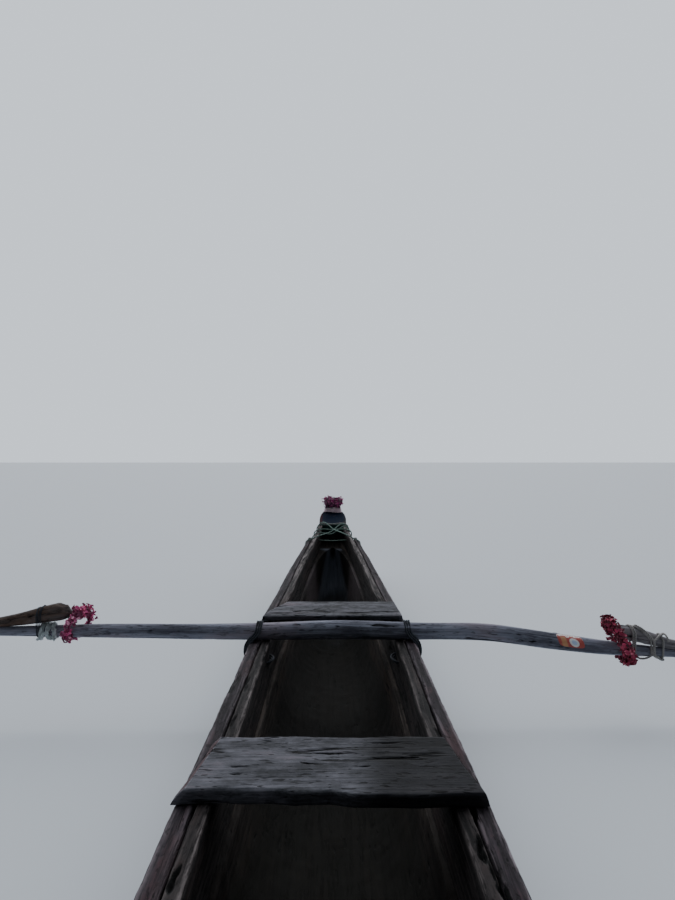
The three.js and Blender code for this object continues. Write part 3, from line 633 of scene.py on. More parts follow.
WOODS = {
    "rail": dict(
        dark=(0.0055, 0.0042, 0.0052), light=(0.034, 0.027, 0.033), worn=(0.22, 0.187, 0.203),
        warm=(0.045, 0.016, 0.017), cracks=0.2, streak=0.75, mottle=1.5, fine=1.9, nicks=0.7),
    # the board's outer face is painted 2.6 times brighter than its inner face, which stands for painted shade
    # inside
    "board": dict(
        dark=(0.003, 0.0026, 0.0028), light=(0.0155, 0.0125, 0.0125), worn=(0.2, 0.172, 0.168),
        warm=(0.022, 0.01, 0.0085), cracks=0.22, mottle=1.4, fine=1.6, nicks=0.6, painted_shade_split=(2, 6.0, 2.6)),
    # the log's hollow is painted darker, partly as damp and partly as painted shade
    "log": dict(
        dark=(0.009, 0.007, 0.006), light=(0.05, 0.04, 0.035), worn=(0.09, 0.075, 0.065),
        warm=(0.04, 0.021, 0.014), cracks=0.14, damp=0.8, painted_shade_split=(1, 1.5, 0.38),
        bow_paint_and_light=((0.12, 0.135, 0.165), (0.078, 0.064, 0.067))),
    "thwart": dict(
        dark=(0.027, 0.028, 0.032), light=(0.143, 0.143, 0.166), worn=(0.23, 0.235, 0.26),
        warm=(0.085, 0.045, 0.048), cracks=0.2, streak=0.35, warmth=0.4, edge=0.6, mottle=1.9, fine=1.9,
        nicks=1.0, blotch=(9.0, 11.5), wet_shadow=0.8),
    "pole": dict(
        dark=(0.084, 0.085, 0.107), light=(0.315, 0.333, 0.405), worn=(0.46, 0.48, 0.55),
        warm=(0.18, 0.125, 0.135), cracks=0.16, streak=0.8, warmth=0.5, mottle=1.3, nicks=0.5),
    "arm": dict(
        dark=(0.026, 0.021, 0.02), light=(0.15, 0.13, 0.125), worn=(0.28, 0.26, 0.255),
        warm=(0.085, 0.05, 0.034), cracks=0.24, warmth=0.8, mottle=1.4, nicks=0.4),
    "grey_arm": dict(
        dark=(0.06, 0.056, 0.06), light=(0.26, 0.25, 0.265), worn=(0.4, 0.39, 0.4),
        warm=(0.15, 0.11, 0.1), cracks=0.2, warmth=0.4, mottle=1.4, nicks=0.4),
    "float": dict(
        dark=(0.03, 0.026, 0.024), light=(0.17, 0.155, 0.145), worn=(0.27, 0.255, 0.24),
        warm=(0.085, 0.05, 0.034), cracks=0.26, streak=1.2, mottle=1.5, damp=0.85, nicks=0.4),
}
woods = {name: wood(f"{name}_finish", **look) for name, look in WOODS.items()}
print("woods:", list(woods))


# %% [markdown]
# ## Lofting a wooden piece
# A sawn or hewn piece is a stack of cross sections, so it is made as rings of points joined by
# quads, the way a plank is lofted in a boatyard. The rings are close together where the camera is
# near. Both ends are closed by smaller copies of the last ring, which gives the end grain its own
# points. After the points have their facts, the weathering tree roughens them.

# %% Rings into a closed mesh
END_SHARES = (0.9, 0.7, 0.45, 0.2, 0.03)


def with_ends(values):
    """Rings of values with shrinking copies of the first and the last ring added."""
    def shrunk(ring, share):
        centre = ring.mean(axis=1, keepdims=True)
        return centre + (ring - centre) * share

    before = [shrunk(values[:1], share) for share in reversed(END_SHARES)]
    after = [shrunk(values[-1:], share) for share in END_SHARES]
    return np.concatenate([*before, values, *after])


def store(mesh, name, kind, values):
    """Writes one fact on every point of a mesh."""
    field = "vector" if kind == "FLOAT_VECTOR" else "value"
    mesh.attributes.new(name, kind, "POINT").data.foreach_set(field, np.asarray(values, np.float32).ravel())


def ring_mesh(name, rings, grain, wear, rot=None, heart=0.0):
    """A closed mesh through rings of points, with the grain, wear, cut and rot facts on its points."""
    points, grain = with_ends(rings), with_ends(grain)
    sides = points.shape[1]
    flat = points.reshape(-1, 3)
    here = np.arange(sides)
    there = (here + 1) % sides
    rows = np.arange(len(points) - 1)[:, None] * sides
    quads = np.stack([rows + here, rows + there, rows + there + sides, rows + here + sides], -1)
    quads = quads.reshape(-1, 4)
    a, b, c, d = (flat[quads[:, k]] for k in range(4))
    volume = (np.cross(b, c) * a).sum() + (np.cross(c, d) * a).sum()
    faces = [*quads.tolist(), here[::-1].tolist(), (len(flat) - sides + here).tolist()]
    if volume < 0:
        faces = [face[::-1] for face in faces]
    mesh = bpy.data.meshes.new(name)
    mesh.from_pydata(flat.tolist(), [], faces)
    store(mesh, "grain", "FLOAT_VECTOR", grain)
    body = slice(len(END_SHARES), -len(END_SHARES))
    worn, cut = np.zeros(points.shape[:2]), np.ones(points.shape[:2])
    worn[body], cut[body] = wear, heart
    worn[body][[0, -1]] = 1.0
    store(mesh, "wear", "FLOAT", worn)
    store(mesh, "cut", "FLOAT", cut)
    # rot: rot pockets, and painted shade on the thwarts' aft faces
    if rot is not None:
        eaten = np.zeros(points.shape[:2])
        eaten[body] = rot
        store(mesh, "rot", "FLOAT", eaten)
    return mesh


# %% Finishing and placing a piece
triangles_made = {}


def settle(piece, replaced, crease=50.0):
    """Smooth shading with crisp edges, then the piece rides on the boat and stands for its nodes."""
    mesh = piece.data
    mesh.polygons.foreach_set("use_smooth", [True] * len(mesh.polygons))
    mesh.set_sharp_from_angle(angle=math.radians(crease))
    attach(piece, "root")
    if replaced:
        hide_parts(*replaced)
    triangles_made[piece.name] = sum(len(face.vertices) - 2 for face in mesh.polygons)
    return piece


def made(*starts):
    """The triangles of the pieces whose names start like that, to print."""
    return {name: count for name, count in triangles_made.items() if name.startswith(starts)}


def wooden(name, shape, material, slot, replaced, **rule):
    """A weathered wooden piece. Its shape is rings, grain, wear, and then rot and knots if it has any."""
    mesh = ring_mesh(name + "_rings", *shape)
    return settle(grown(weathering, name, mesh, material, **rule), replaced)


# %% Outlines and places
def outline(corners, counts):
    """Points along a closed outline. Each corner is a pair of arrays, one value for each ring."""
    count = max(len(np.atleast_1d(value)) for corner in corners for value in corner)
    fixed = [np.stack([np.broadcast_to(value, count) for value in corner], -1) for corner in corners]
    runs = []
    for here, there, steps in zip(fixed, fixed[1:] + fixed[:1], counts):
        share = (np.arange(steps) / steps)[None, :, None]
        runs.append(here[:, None, :] * (1 - share) + there[:, None, :] * share)
    return np.concatenate(runs, axis=1)


def edge_wear(corners, counts, reach, rubbed):
    """Wear that fades with the distance from the corners that are rubbed."""
    starts = np.concatenate([[0], np.cumsum(counts)[:-1]])
    points = outline(corners, counts)[0]
    wear = np.zeros(len(points))
    for index, amount in rubbed.items():
        away = np.linalg.norm(points - points[starts[index]], axis=1)
        wear = np.maximum(wear, amount * np.exp(-((away / reach) ** 2)))
    return wear


def rounded(points, times):
    """An outline with its corners eased, by averaging each point with its neighbours."""
    for _ in range(times):
        points = 0.5 * points + 0.25 * (np.roll(points, 1, axis=1) + np.roll(points, -1, axis=1))
    return points


def box(half, top, bottom):
    """The four corners of a section that is as wide on both sides."""
    return [(-half, top), (half, top), (half, bottom), (-half, bottom)]


NEAREST_TO_CAMERA = -0.45


def places_between(start, end, near, far):
    """Places along the boat, closer together in the part that the camera sees from nearby."""
    places = [start]
    while places[-1] < end:
        away = abs(places[-1] - NEAREST_TO_CAMERA)
        places.append(places[-1] + mix(near, far, smooth_step(away, 0.6, 1.6)))
    places = np.array(places)
    return start + (places - start) * (end - start) / (places[-1] - start)


def wander(values, seed, pitch):
    """Soft random numbers from -1 to 1 along a line of values, the same on every run."""
    random = np.random.default_rng(seed)
    knots = np.arange(values.min() - 2 * pitch, values.max() + 3 * pitch, pitch)
    heights = random.uniform(-1, 1, len(knots))
    return smooth_table(np.stack([knots, heights], 1))(values)[:, 0]


# %% [markdown]
# ## Rails and side boards
# The edge of the boat is two strips of timber side by side: the thick lip of the side board inside,
# and a rail outside it, with a dark open seam between them. The seam wanders and gapes, because
# each strip has dried its own way, and rot has eaten pockets into the lips. A strip is lofted
# along the sheer. Rot pockets come from a short table and push the points of the top face down.

# %% Rot pockets
ROT_POCKETS = [
    # side, y, distance in from the seam, half length, half width, depth, in mm
    (-1, -1024, 14, 36, 4.6, 15),
    (-1, -1120, 9, 30, 3, 6),
    (-1, -330, 12, 60, 4, 7),
    (-1, -20, 9, 70, 5, 9),
    (1, -937, 12, 40, 5.5, 18),
    (1, -1071, -1, 30, 6, 20),
    (1, -1010, 5, 40, 3, 8),
    (1, -420, 10, 50, 4, 7),
]


def rot_at(side, y, inboard):
    """Depth of rot in metres at places along the boat and distances in from the seam."""
    depth = np.zeros(np.broadcast(y, inboard).shape)
    for pocket_side, place, across, half_length, half_width, deep in ROT_POCKETS:
        if pocket_side == side:
            ragged = 1 + 0.22 * np.sin(y * 70) + 0.16 * np.sin(y * 143 + 1)
            along = (y - place * MM) / (half_length * MM)
            centre = across * MM + 0.0025 * np.sin(y * 50 + place)
            beside = (inboard - centre) / (half_width * MM * ragged)
            depth = np.maximum(depth, deep * MM * np.exp(-((along**2 + beside**2) ** 1.5)))
    return depth


# %% Rails
RAIL = {"aft": -2.78, "fore": 2.9, "width": 0.044, "tip_width": 0.03, "depth": 0.057, "taper_from": 1.5}
SEAM = 0.0013
ROT_SHOWN = 0.006
EDGE_REACH = 0.009
SIDES = {"port": -1, "starboard": 1}


def seam_gap(side, y):
    """How far each strip stands back from the seam."""
    wide = wander(y, 50 + side, 0.31) + 0.8 * wander(y, 40 + side, 0.09) + 0.35 * wander(y, 45 + side, 0.028)
    return SEAM * (1.0 + wide).clip(0.1, 2.1)


def gunwale_strip(side, y, section):
    """Rings and grain of a strip along the gunwale with rot sunk into its top, and the rot itself."""
    half_breadth, sheer = (value[:, None] for value in hull_at(y)[:2])
    across, up = section[..., 0], section[..., 1]
    top = smooth_step(up - sheer, -0.006, -0.001)
    sunk = top * rot_at(side, y[:, None], half_breadth - across)
    up = up - sunk
    rings = stacked(side * across, y[:, None], up)
    grain = stacked(y[:, None], side * (across - half_breadth), up - sheer)
    return rings, grain, sunk / ROT_SHOWN


def rail(side):
    """Rings, grain, wear and rot of one rail."""
    y = places_between(RAIL["aft"], RAIL["fore"], 0.006, 0.014)
    half_breadth, sheer = hull_at(y)[:2]
    width = mix(RAIL["width"], RAIL["tip_width"], smooth_step(y, RAIL["taper_from"], RAIL["fore"]))
    inner = half_breadth + seam_gap(side, y)
    outer = half_breadth + width + 0.0015 * wander(y, 60 + side, 0.22)
    bottom = sheer - RAIL["depth"] + 0.002 * wander(y, 65 + side, 0.3)
    corners = [(inner, sheer), (outer, sheer), (outer, bottom), (inner, bottom)]
    counts = (13, 15, 9, 8)
    rings, grain, rot = gunwale_strip(side, y, rounded(outline(corners, counts), 3))
    wear = edge_wear(corners, counts, EDGE_REACH, {0: 0.4, 1: 1.0 if side < 0 else 1.5, 2: 0.7})
    return rings, grain + (0, 3 * side, 0), wear, rot


for side_name, side in SIDES.items():
    wooden(
        f"rail_{side_name}", rail(side), woods["rail"], "rail_wood",
        [f"gunwale_rail_{side_name}_{part}" for part in ("aft", "fore")],
        Waves=0.0008, Fibres=0.0004, Crack_depth=0.0032, Crack_density=0.14, Wearing=0.0022,
    )
print("rails:", made("rail"))

# %% [markdown]
# The side board below has a lip along its top that overhangs the inside of the boat. Its inner
# corner is rubbed pale by ropes and long use. The board's foot stands on the log.

# %% Side boards
BOARD = {"aft": -3.06, "fore": 3.29, "thickness": 0.025, "lip_width": 0.036, "lip_depth": 0.045}


def side_board(side):
    """Rings, grain, wear and rot of one side board. Its outer face lies deeper in the grain."""
    y = places_between(BOARD["aft"], BOARD["fore"], 0.007, 0.015)
    half_breadth, sheer, split, _, foot = hull_at(y)
    outer = half_breadth - seam_gap(side, y)
    lip = half_breadth - BOARD["lip_width"] - 0.0022 * wander(y, 70 + side, 0.13)
    wall = half_breadth - BOARD["thickness"]
    under = sheer - BOARD["lip_depth"]
    corners = [
        (outer, sheer), (lip, sheer), (lip, under), (wall, under - 0.006),
        (foot - BOARD["thickness"], split), (foot, split),
    ]
    counts = (11, 12, 4, 15, 3, 15)
    section = rounded(outline(corners, counts), 2)
    rings, grain, rot = gunwale_strip(side, y, section)
    half_breadth, sheer = half_breadth[:, None], sheer[:, None]
    across, up = section[..., 0], rings[..., 2]
    corner_wear = edge_wear(corners, counts, EDGE_REACH, {0: 0.35, 1: 1.0 if side < 0 else 0.4, 2: 0.3})
    lip_wear = smooth_step(up - sheer, -0.03, -0.004) * mix(0.06, 0.85, smooth_step(y, 0.8, 2.6))[:, None]
    wall_wear = 0.09 * (up < sheer - 1.1 * BOARD["lip_depth"])
    outer_face = half_breadth - 0.4 * BOARD["thickness"] - FLARE * 0.3
    # the outer face gets its own depth in the grain, where the finish paints it brighter than the inner face,
    # which carries painted shade
    grain[..., 2] += 2.0 * ((across > outer_face) & (up < sheer - 0.02))
    wear = np.maximum(np.maximum(corner_wear, lip_wear), wall_wear)
    return rings, grain + (1.3, 3 * side, 5), wear, rot


for side_name, side in SIDES.items():
    wooden(
        f"board_{side_name}", side_board(side), woods["board"], "plank_wood",
        [f"side_plank_{side_name}_{part}" for part in ("aft", "mid", "fore")],
        Waves=0.001, Fibres=0.0005, Crack_depth=0.0035, Crack_density=0.16, Wearing=0.0025,
    )
print("boards:", made("board"))

# %% [markdown]
# ## The dugout log
# The hull's bottom is one log, round outside and hollow inside. Each section is a closed ring: down
# round the outside, across the flat top edge, back round the inside, and across the other edge.
# Where the hollow ends, the inner part of the ring shrinks onto the centreline, so one loft makes
# the hollow hull and its solid ends together. An adze leaves rows of shallow dishes. The grain's
# second number is the girth from the outer keel, or from the inner one on the inside, so the
# finish can tell the two apart: the hollow is painted darker, as damp and as painted shade, a band
# high on its walls amidships is painted lighter as painted light, and its bow end keeps old blue
# grey paint, made bright enough to be partly painted light as well.

# %% Log
LOG = {"wall": 0.038, "floor": 0.05, "hollow_aft": -3.08, "hollow_fore": 3.15, "round": 0.43}
LOG_STEPS = {"outside": 46, "edge": 5, "inside": 40}


def log_rings():
    """Rings, grain and wear of the log."""
    y = places_between(STERN, STEM, 0.012, 0.024)
    _, _, split, keel, foot = hull_at(y)
    middle = (LOG["hollow_aft"] + LOG["hollow_fore"]) / 2
    reach = (LOG["hollow_fore"] - LOG["hollow_aft"]) / 2 - LOG["round"]
    past = np.clip((np.abs(y - middle) - reach) / LOG["round"], 0, 1)
    closure = np.sqrt(1 - past**2)
    half_width = (foot - LOG["wall"]).clip(0.001) * closure
    bottom = split - (split - keel - LOG["floor"]).clip(0.001) * closure
    outside = section_arc(y, foot, split, keel, LOG_STEPS["outside"])
    inside = section_arc(y, half_width, split, bottom, LOG_STEPS["inside"])[:, ::-1]
    share = (np.arange(1, LOG_STEPS["edge"]) / LOG_STEPS["edge"])[None, :, None]
    starboard_edge = outside[:, -1:] * (1 - share) + inside[:, :1] * share
    port_edge = inside[:, -1:] * (1 - share) + outside[:, :1] * share
    rings = np.concatenate([outside, starboard_edge, inside, port_edge], axis=1)
    steps = np.linalg.norm(np.diff(rings, axis=1), axis=2)
    girth = np.concatenate([0 * steps[:, :1], np.cumsum(steps, axis=1)], axis=1)
    outer_keel = LOG_STEPS["outside"] // 2
    edge = LOG_STEPS["outside"] + LOG_STEPS["edge"] // 2 + 1
    inner_keel = LOG_STEPS["outside"] + LOG_STEPS["edge"] + LOG_STEPS["inside"] // 2
    girth = np.concatenate([
        girth[:, :edge] - girth[:, outer_keel:outer_keel + 1],
        girth[:, edge:] - girth[:, inner_keel:inner_keel + 1] + INNER_KEEL], axis=1)
    grain = stacked(rings[..., 1], girth, 0.02 * np.sin(girth * 9))
    near_top = np.exp(-(((rings[..., 2] - split[:, None]) / 0.012) ** 2))
    return rings, grain, near_top * 0.4


wooden(
    "log", log_rings(), woods["log"], "log_wood", ["hull_dugout"],
    Waves=0.0022, Fibres=0.0005, Crack_depth=0.003, Crack_density=0.1, Adze=0.0028, Wearing=0.002,
)
print("log:", made("log"))

# %% [markdown]
# ## Thwarts
# The thwarts are thick slabs split from a trunk and laid on the gunwales. Their ends are hewn at a
# slant, so a slab is shorter on top than below, and its outline is not square. A table gives the
# outline, and the loft runs across the boat. The middle one is nearest to the camera, so its points
# are the closest together. A knot stub stands near its aft edge.

# %% Thwarts
THWARTS = [
    # name, thickness, y aft, y fore, share of the halfway point, x of the port end at the aft edge,
    # halfway and at the fore edge, the same for starboard, slant of the two ends, step, all in mm
    ("thwart_forward", 28, 801, 1084, 0.37, (-316, -292, -221), (313, 308, 300), (6, 6), 6.0),
    ("thwart_middle", 33, -800, -512, 0.5, (-340, -322, -304), (327, 303, 286), (29, 11), 3.6),
    ("thwart_aft", 32, -2657, -2361, 0.5, (-272, -276, -284), (264, 274, 280), (8, 8), 7.0),
]
HEWN_EDGE = {"name": "thwart_middle", "rows": [
    # x and how far the aft edge stands forward, in mm
    (-345, 22), (-308, 25), (-230, 26), (-131, 27), (-110, 22), (-78, 9), (-48, 10), (-6, 17), (30, 5),
    (57, -3), (140, -4), (244, -1), (335, 1),
]}
THWART_KNOT = {"name": "thwart_middle", "x": -0.131, "y": -0.786, "radius": 0.008, "height": 0.004}
AFT_FACE_SHADE = 0.37


def thwart(name, thickness, aft, fore, halfway, port, starboard, slant, step, seed):
    """Rings, grain, wear, and painted shade on the aft face, of a slab across the boat, from its port to its
    starboard end.
    """
    length = abs(port[0]) + abs(starboard[0])
    share = np.linspace(0, 1, round(length / step))[:, None]
    depth = fore - aft
    corners = [(0, thickness), (depth, thickness), (depth, 0), (0, 0)]
    counts = (round(depth / step), 9, round(depth / step / 3), 9)
    lengthwise, up = rounded(outline(corners, counts), 2)[0].T
    v = lengthwise / depth
    knots = (0, halfway, 1)
    hewn = (up / thickness).clip(0) ** 1.6
    port_x = np.interp(v, knots, port) + slant[0] * hewn
    starboard_x = np.interp(v, knots, starboard) - slant[1] * hewn
    x = mix(port_x, starboard_x, share) * MM
    aft_edge, fore_edge = (wander(share[:, 0] * length * MM, seed + k, 0.075)[:, None] for k in (0, 1))
    y = (aft + lengthwise) * MM + 0.0042 * mix(aft_edge, fore_edge, v)
    if name == HEWN_EDGE["name"]:
        edge_x, edge_y = np.array(HEWN_EDGE["rows"]).T * MM
        y = y + np.interp(x, edge_x, edge_y) * (1 - v) * mix(0.6, 1.0, up / thickness)
    seat_aft, seat_fore = (gunwale_at(edge * MM)[1] for edge in (aft, fore))
    z = seat_aft + (seat_fore - seat_aft) / depth * lengthwise + (up + 0.3) * MM
    if name == THWART_KNOT["name"]:
        away = np.hypot(x - THWART_KNOT["x"], y - THWART_KNOT["y"]) / THWART_KNOT["radius"]
        z = z + THWART_KNOT["height"] * np.exp(-(away**4)) * (up > thickness / 2)
    grain = stacked(x, y - aft * MM, up * MM) + (seed, 2 * seed, 5)
    wear = edge_wear(corners, counts, 7.0, {0: 0.8, 1: 1.0, 2: 0.4, 3: 0.4})
    # painted shade: the aft face looks away from the light and is darkened through the rot fact, less at the
    # tips, so the end grain shows
    aft_face = (1 - smooth_step(lengthwise, 1.5, 7.0)) * (1 - smooth_step(up, 0.75 * thickness, thickness))
    aft_face_shade = AFT_FACE_SHADE * aft_face * (1 - 0.8 * smooth_step(np.abs(share - 0.5), 0.47, 0.49))
    return stacked(x, y, z), grain, wear, aft_face_shade


for seed, row in enumerate(THWARTS):
    wooden(
        row[0] + "_slab", thwart(*row, seed), woods["thwart"], "thwart_wood", [row[0]],
        Waves=0.0009, Fibres=0.0004, Crack_depth=0.003, Crack_density=0.14, Wearing=0.0016, Dents=0.003,
    )
print("thwarts:", made("thwart"))

# %% [markdown]
# ## Booms, arms and floats
# A boom is a straight trunk with the bark off, thick in the middle and thin at the tips. An arm is
# a branch that grew with a bend, so its outer end reaches down to the float. Both are round poles:
# a smooth line through a few rows of centre and radius, and a slightly oval ring on each step of
# it. Twigs were cut off flush, which leaves low knots with a reddish heart.

# %% Poles
BOOMS = {
    # y, and rows of x, height over the gunwale and radius, in mm
    "fore": (520, [
        (-1550, 31, 17), (-1340, 34, 19), (-950, 35, 27), (-300, 31.5, 33), (0, 37, 36), (300, 32, 34),
        (620, 25, 33), (890, -11, 31), (1060, -32, 28), (1377, -58, 18), (1550, -70, 16),
    ]),
    "aft": (-1950, [
        (-1550, 14, 17), (-1340, 22, 19), (-900, 34, 28), (-270, 31, 33), (0, 38, 37), (270, 32, 34),
        (900, 33, 28), (1340, 16, 19), (1550, 6, 17),
    ]),
}
ARM_FOOT = [(1838, 150, 20), (1866, 60, 19), (1886, -30, 16)]
ARMS = {
    # rows of distance from the centreline, z and radius, in mm
    "fore_port": [(1045, 437, 36), (1120, 425, 33), (1240, 402, 25), (1340, 388, 19), (1510, 381, 18),
                  (1650, 343, 19), (1765, 255, 20), *ARM_FOOT],
    "fore_starboard": [(1128, 350, 31), (1240, 328, 27), (1377, 293, 20), (1510, 284, 18), (1650, 262, 19),
                       (1765, 205, 20), (1838, 130, 20), (1867, 55, 19), (1886, -30, 16)],
    "aft_port": [(1060, 430, 34), (1160, 413, 30), (1260, 397, 24), (1360, 388, 19), (1510, 382, 18),
                 (1650, 345, 19), (1765, 258, 20), *ARM_FOOT],
    "aft_starboard": [(1080, 424, 33), (1170, 408, 29), (1270, 392, 23), (1360, 381, 19), (1510, 374, 18),
                      (1650, 338, 19), (1765, 252, 20), *ARM_FOOT],
}
TRUNK = {"step": 0.009, "sides": 44, "knot_count": 7, "knot_size": 0.016, "blunt": 0.012}
BRANCH = {"step": 0.008, "sides": 32, "knot_count": 5, "knot_size": 0.014, "blunt": 0.04}
KNOT_MARGIN = 0.1


def unit(vectors):
    return vectors / np.linalg.norm(vectors, axis=-1, keepdims=True)


def length_along(points):
    """The length of a line from its start to each of its points."""
    return np.concatenate([[0], np.cumsum(np.linalg.norm(np.diff(points, axis=0), axis=1))])


def smooth_route(rows, step):
    """Even steps along a smooth curve through rows of x, y, z and any further sizes."""
    rows = np.array(rows, float)
    places = length_along(rows[:, :3])
    steps = np.linspace(0, places[-1], round(places[-1] / step) + 1)
    return steps, smooth_table(np.column_stack([places, rows]))(steps)


def pole(rows, seed, step, sides, knot_count, knot_size, blunt):
    """Rings, grain, wear, no rot, and the knots' hearts of a round pole in a plane across the boat."""
    length, line = smooth_route(np.array(rows) * MM, step)
    centre, radius = line[:, :3], line[:, 3:]
    tangent = unit(np.gradient(centre, axis=0))
    side = np.array([0.0, 1.0, 0.0])
    up = np.cross(side, tangent)
    angle = np.linspace(0, 2 * np.pi, sides, endpoint=False)[None, :]
    sway = wander(length, seed, 0.45)[:, None]
    reach = radius * (1 + 0.035 * np.cos(2 * angle + 3 * sway) + 0.02 * np.cos(3 * angle - 2 * sway))
    facets = 0.5 + 0.5 * np.cos(5 * angle + seed) * np.cos(2 * angle)
    near_butt = 1 - smooth_step(length[:, None] - 0.5 * blunt * facets, 0.0, blunt)
    reach = reach * (1 - 0.38 * near_butt**1.5)
    random = np.random.default_rng(seed)
    heart = np.zeros(reach.shape)
    for _ in range(knot_count):
        place = random.uniform(KNOT_MARGIN, length[-1] - KNOT_MARGIN)
        turn = random.uniform(0, 2 * np.pi)
        size = knot_size * random.uniform(0.6, 1.3)
        around = (angle - turn + np.pi) % (2 * np.pi) - np.pi
        away = np.hypot(length[:, None] - place, around * radius) / size
        reach = reach + 0.32 * size * np.exp(-(away**2)) * (1 - 0.5 * np.exp(-((away / 0.35) ** 2)))
        heart = np.maximum(heart, np.exp(-((away / 0.4) ** 4)))
    spread = stacked(reach * np.cos(angle), reach * np.sin(angle))
    rings = centre[:, None] + spread[..., :1] * side + spread[..., 1:] * up[:, None]
    slanting = (0.45 * np.exp(-((length / blunt) ** 2)))[:, None, None] * (spread[..., 1:] + spread[..., :1])
    rings = rings + tangent[:, None] * slanting
    grain = stacked(length[:, None], spread[..., 0], spread[..., 1]) + (seed, 0, 0)
    # partly wear and partly a painted highlight: the top of each pole, which faces the sky, is paler
    top_highlight_and_wear = 0.55 * np.exp(-(((angle - np.pi / 2) / 0.5) ** 2))
    return rings, grain, top_highlight_and_wear, None, heart


def boom_rows(boom):
    """Rows of x, y, z and radius of a boom, in mm."""
    y, rows = BOOMS[boom]
    gunwale = gunwale_at(y * MM)[1] / MM
    return [(x, y, gunwale + height, radius) for x, height, radius in rows]


def arm_rows(arm):
    """Rows of x, y, z and radius of an arm, in mm."""
    boom, side = arm.split("_")
    return [(SIDES[side] * out, BOOMS[boom][0], z, radius) for out, z, radius in ARMS[arm]]


booms = {}
for seed, boom in enumerate(BOOMS):
    booms[boom] = wooden(
        f"boom_{boom}_pole", pole(boom_rows(boom), seed=20 + seed, **TRUNK), woods["pole"], "pole_wood",
        [f"boom_{boom}"],
        Waves=0.0012, Fibres=0.0003, Crack_depth=0.003, Crack_density=0.12, Wearing=0.0008, Dents=0.0015,
    )
for seed, arm in enumerate(ARMS):
    finish = woods["grey_arm" if arm.endswith("starboard") else "arm"]
    wooden(
        f"arm_{arm}_branch", pole(arm_rows(arm), seed=30 + seed, **BRANCH), finish, "arm_wood",
        [f"arm_{arm}"],
        Waves=0.0014, Fibres=0.0004, Crack_depth=0.003, Crack_density=0.2, Wearing=0.001, Dents=0.002,
    )
print("poles:", made("boom", "arm"))

# %% [markdown]
# A float is a plank on edge with both ends swept up. It leans in a little at the top, where the
# arm's foot is tied to it, and half of it stands below the waterline, so its lower part is dark and
# weedy.

# %% Floats
FLOAT = {
    "outboard": 1.926, "z": -0.02, "lean": math.radians(12), "thickness": 0.045, "half_depth": 0.1,
    "aft": -2.85, "fore": 1.4, "step": 0.0157, "tip_length": 0.48, "tip_rise": 0.028, "tip_height": 0.026,
}


def float_place(side, across, along, up):
    """Points of a float given outboard of its middle plane, along the boat and up, in place."""
    lean = -side * FLOAT["lean"]
    x = across * math.cos(lean) + up * math.sin(lean) + side * FLOAT["outboard"]
    z = up * math.cos(lean) - across * math.sin(lean) + FLOAT["z"]
    return stacked(x, along, z)


def float_plank(side):
    """Rings, grain and wear of one float."""
    along = np.arange(FLOAT["aft"], FLOAT["fore"] + 0.001, FLOAT["step"])
    inside = np.minimum(along - FLOAT["aft"], FLOAT["fore"] - along) / FLOAT["tip_length"]
    t = (1 - inside).clip(0)
    top = FLOAT["half_depth"] + FLOAT["tip_rise"] * t**2
    tip_lift = 2 * FLOAT["half_depth"] + FLOAT["tip_rise"] - FLOAT["tip_height"]
    corners = box(FLOAT["thickness"] / 2, top, -FLOAT["half_depth"] + tip_lift * t**2)
    counts = (7, 18, 7, 18)
    section = rounded(outline(corners, counts), 2)
    across, up = section[..., 0], section[..., 1]
    grain = stacked(along[:, None], across, up) + (0, side, 3)
    wear = edge_wear(corners, counts, EDGE_REACH, {0: 0.9, 1: 0.9, 2: 0.4, 3: 0.4})
    return float_place(side, across, along[:, None], up), grain, wear


for side_name, side in SIDES.items():
    wooden(
        f"float_{side_name}_plank", float_plank(side), woods["float"], "float_wood", [f"float_{side_name}"],
        Waves=0.0015, Fibres=0.0005, Crack_depth=0.004, Crack_density=0.2, Wearing=0.002,
    )
print("floats:", made("float"))

# %% [markdown]
# ## The ends of the hull
# At each end a solid block fills the space between the side boards, and at the bow a square stem
# head stands on it. The bow is painted dark blue with a green band along its aft edge, and the
# paint has flaked off the corners. The stern block is bare wood, made by the same loft.

# %% Painted wood
GREEN_BAND_ENDS = (3.335, 3.36)
BOW_SHEER = {"y": 3.3, "z": 0.506, "slope": 0.165}


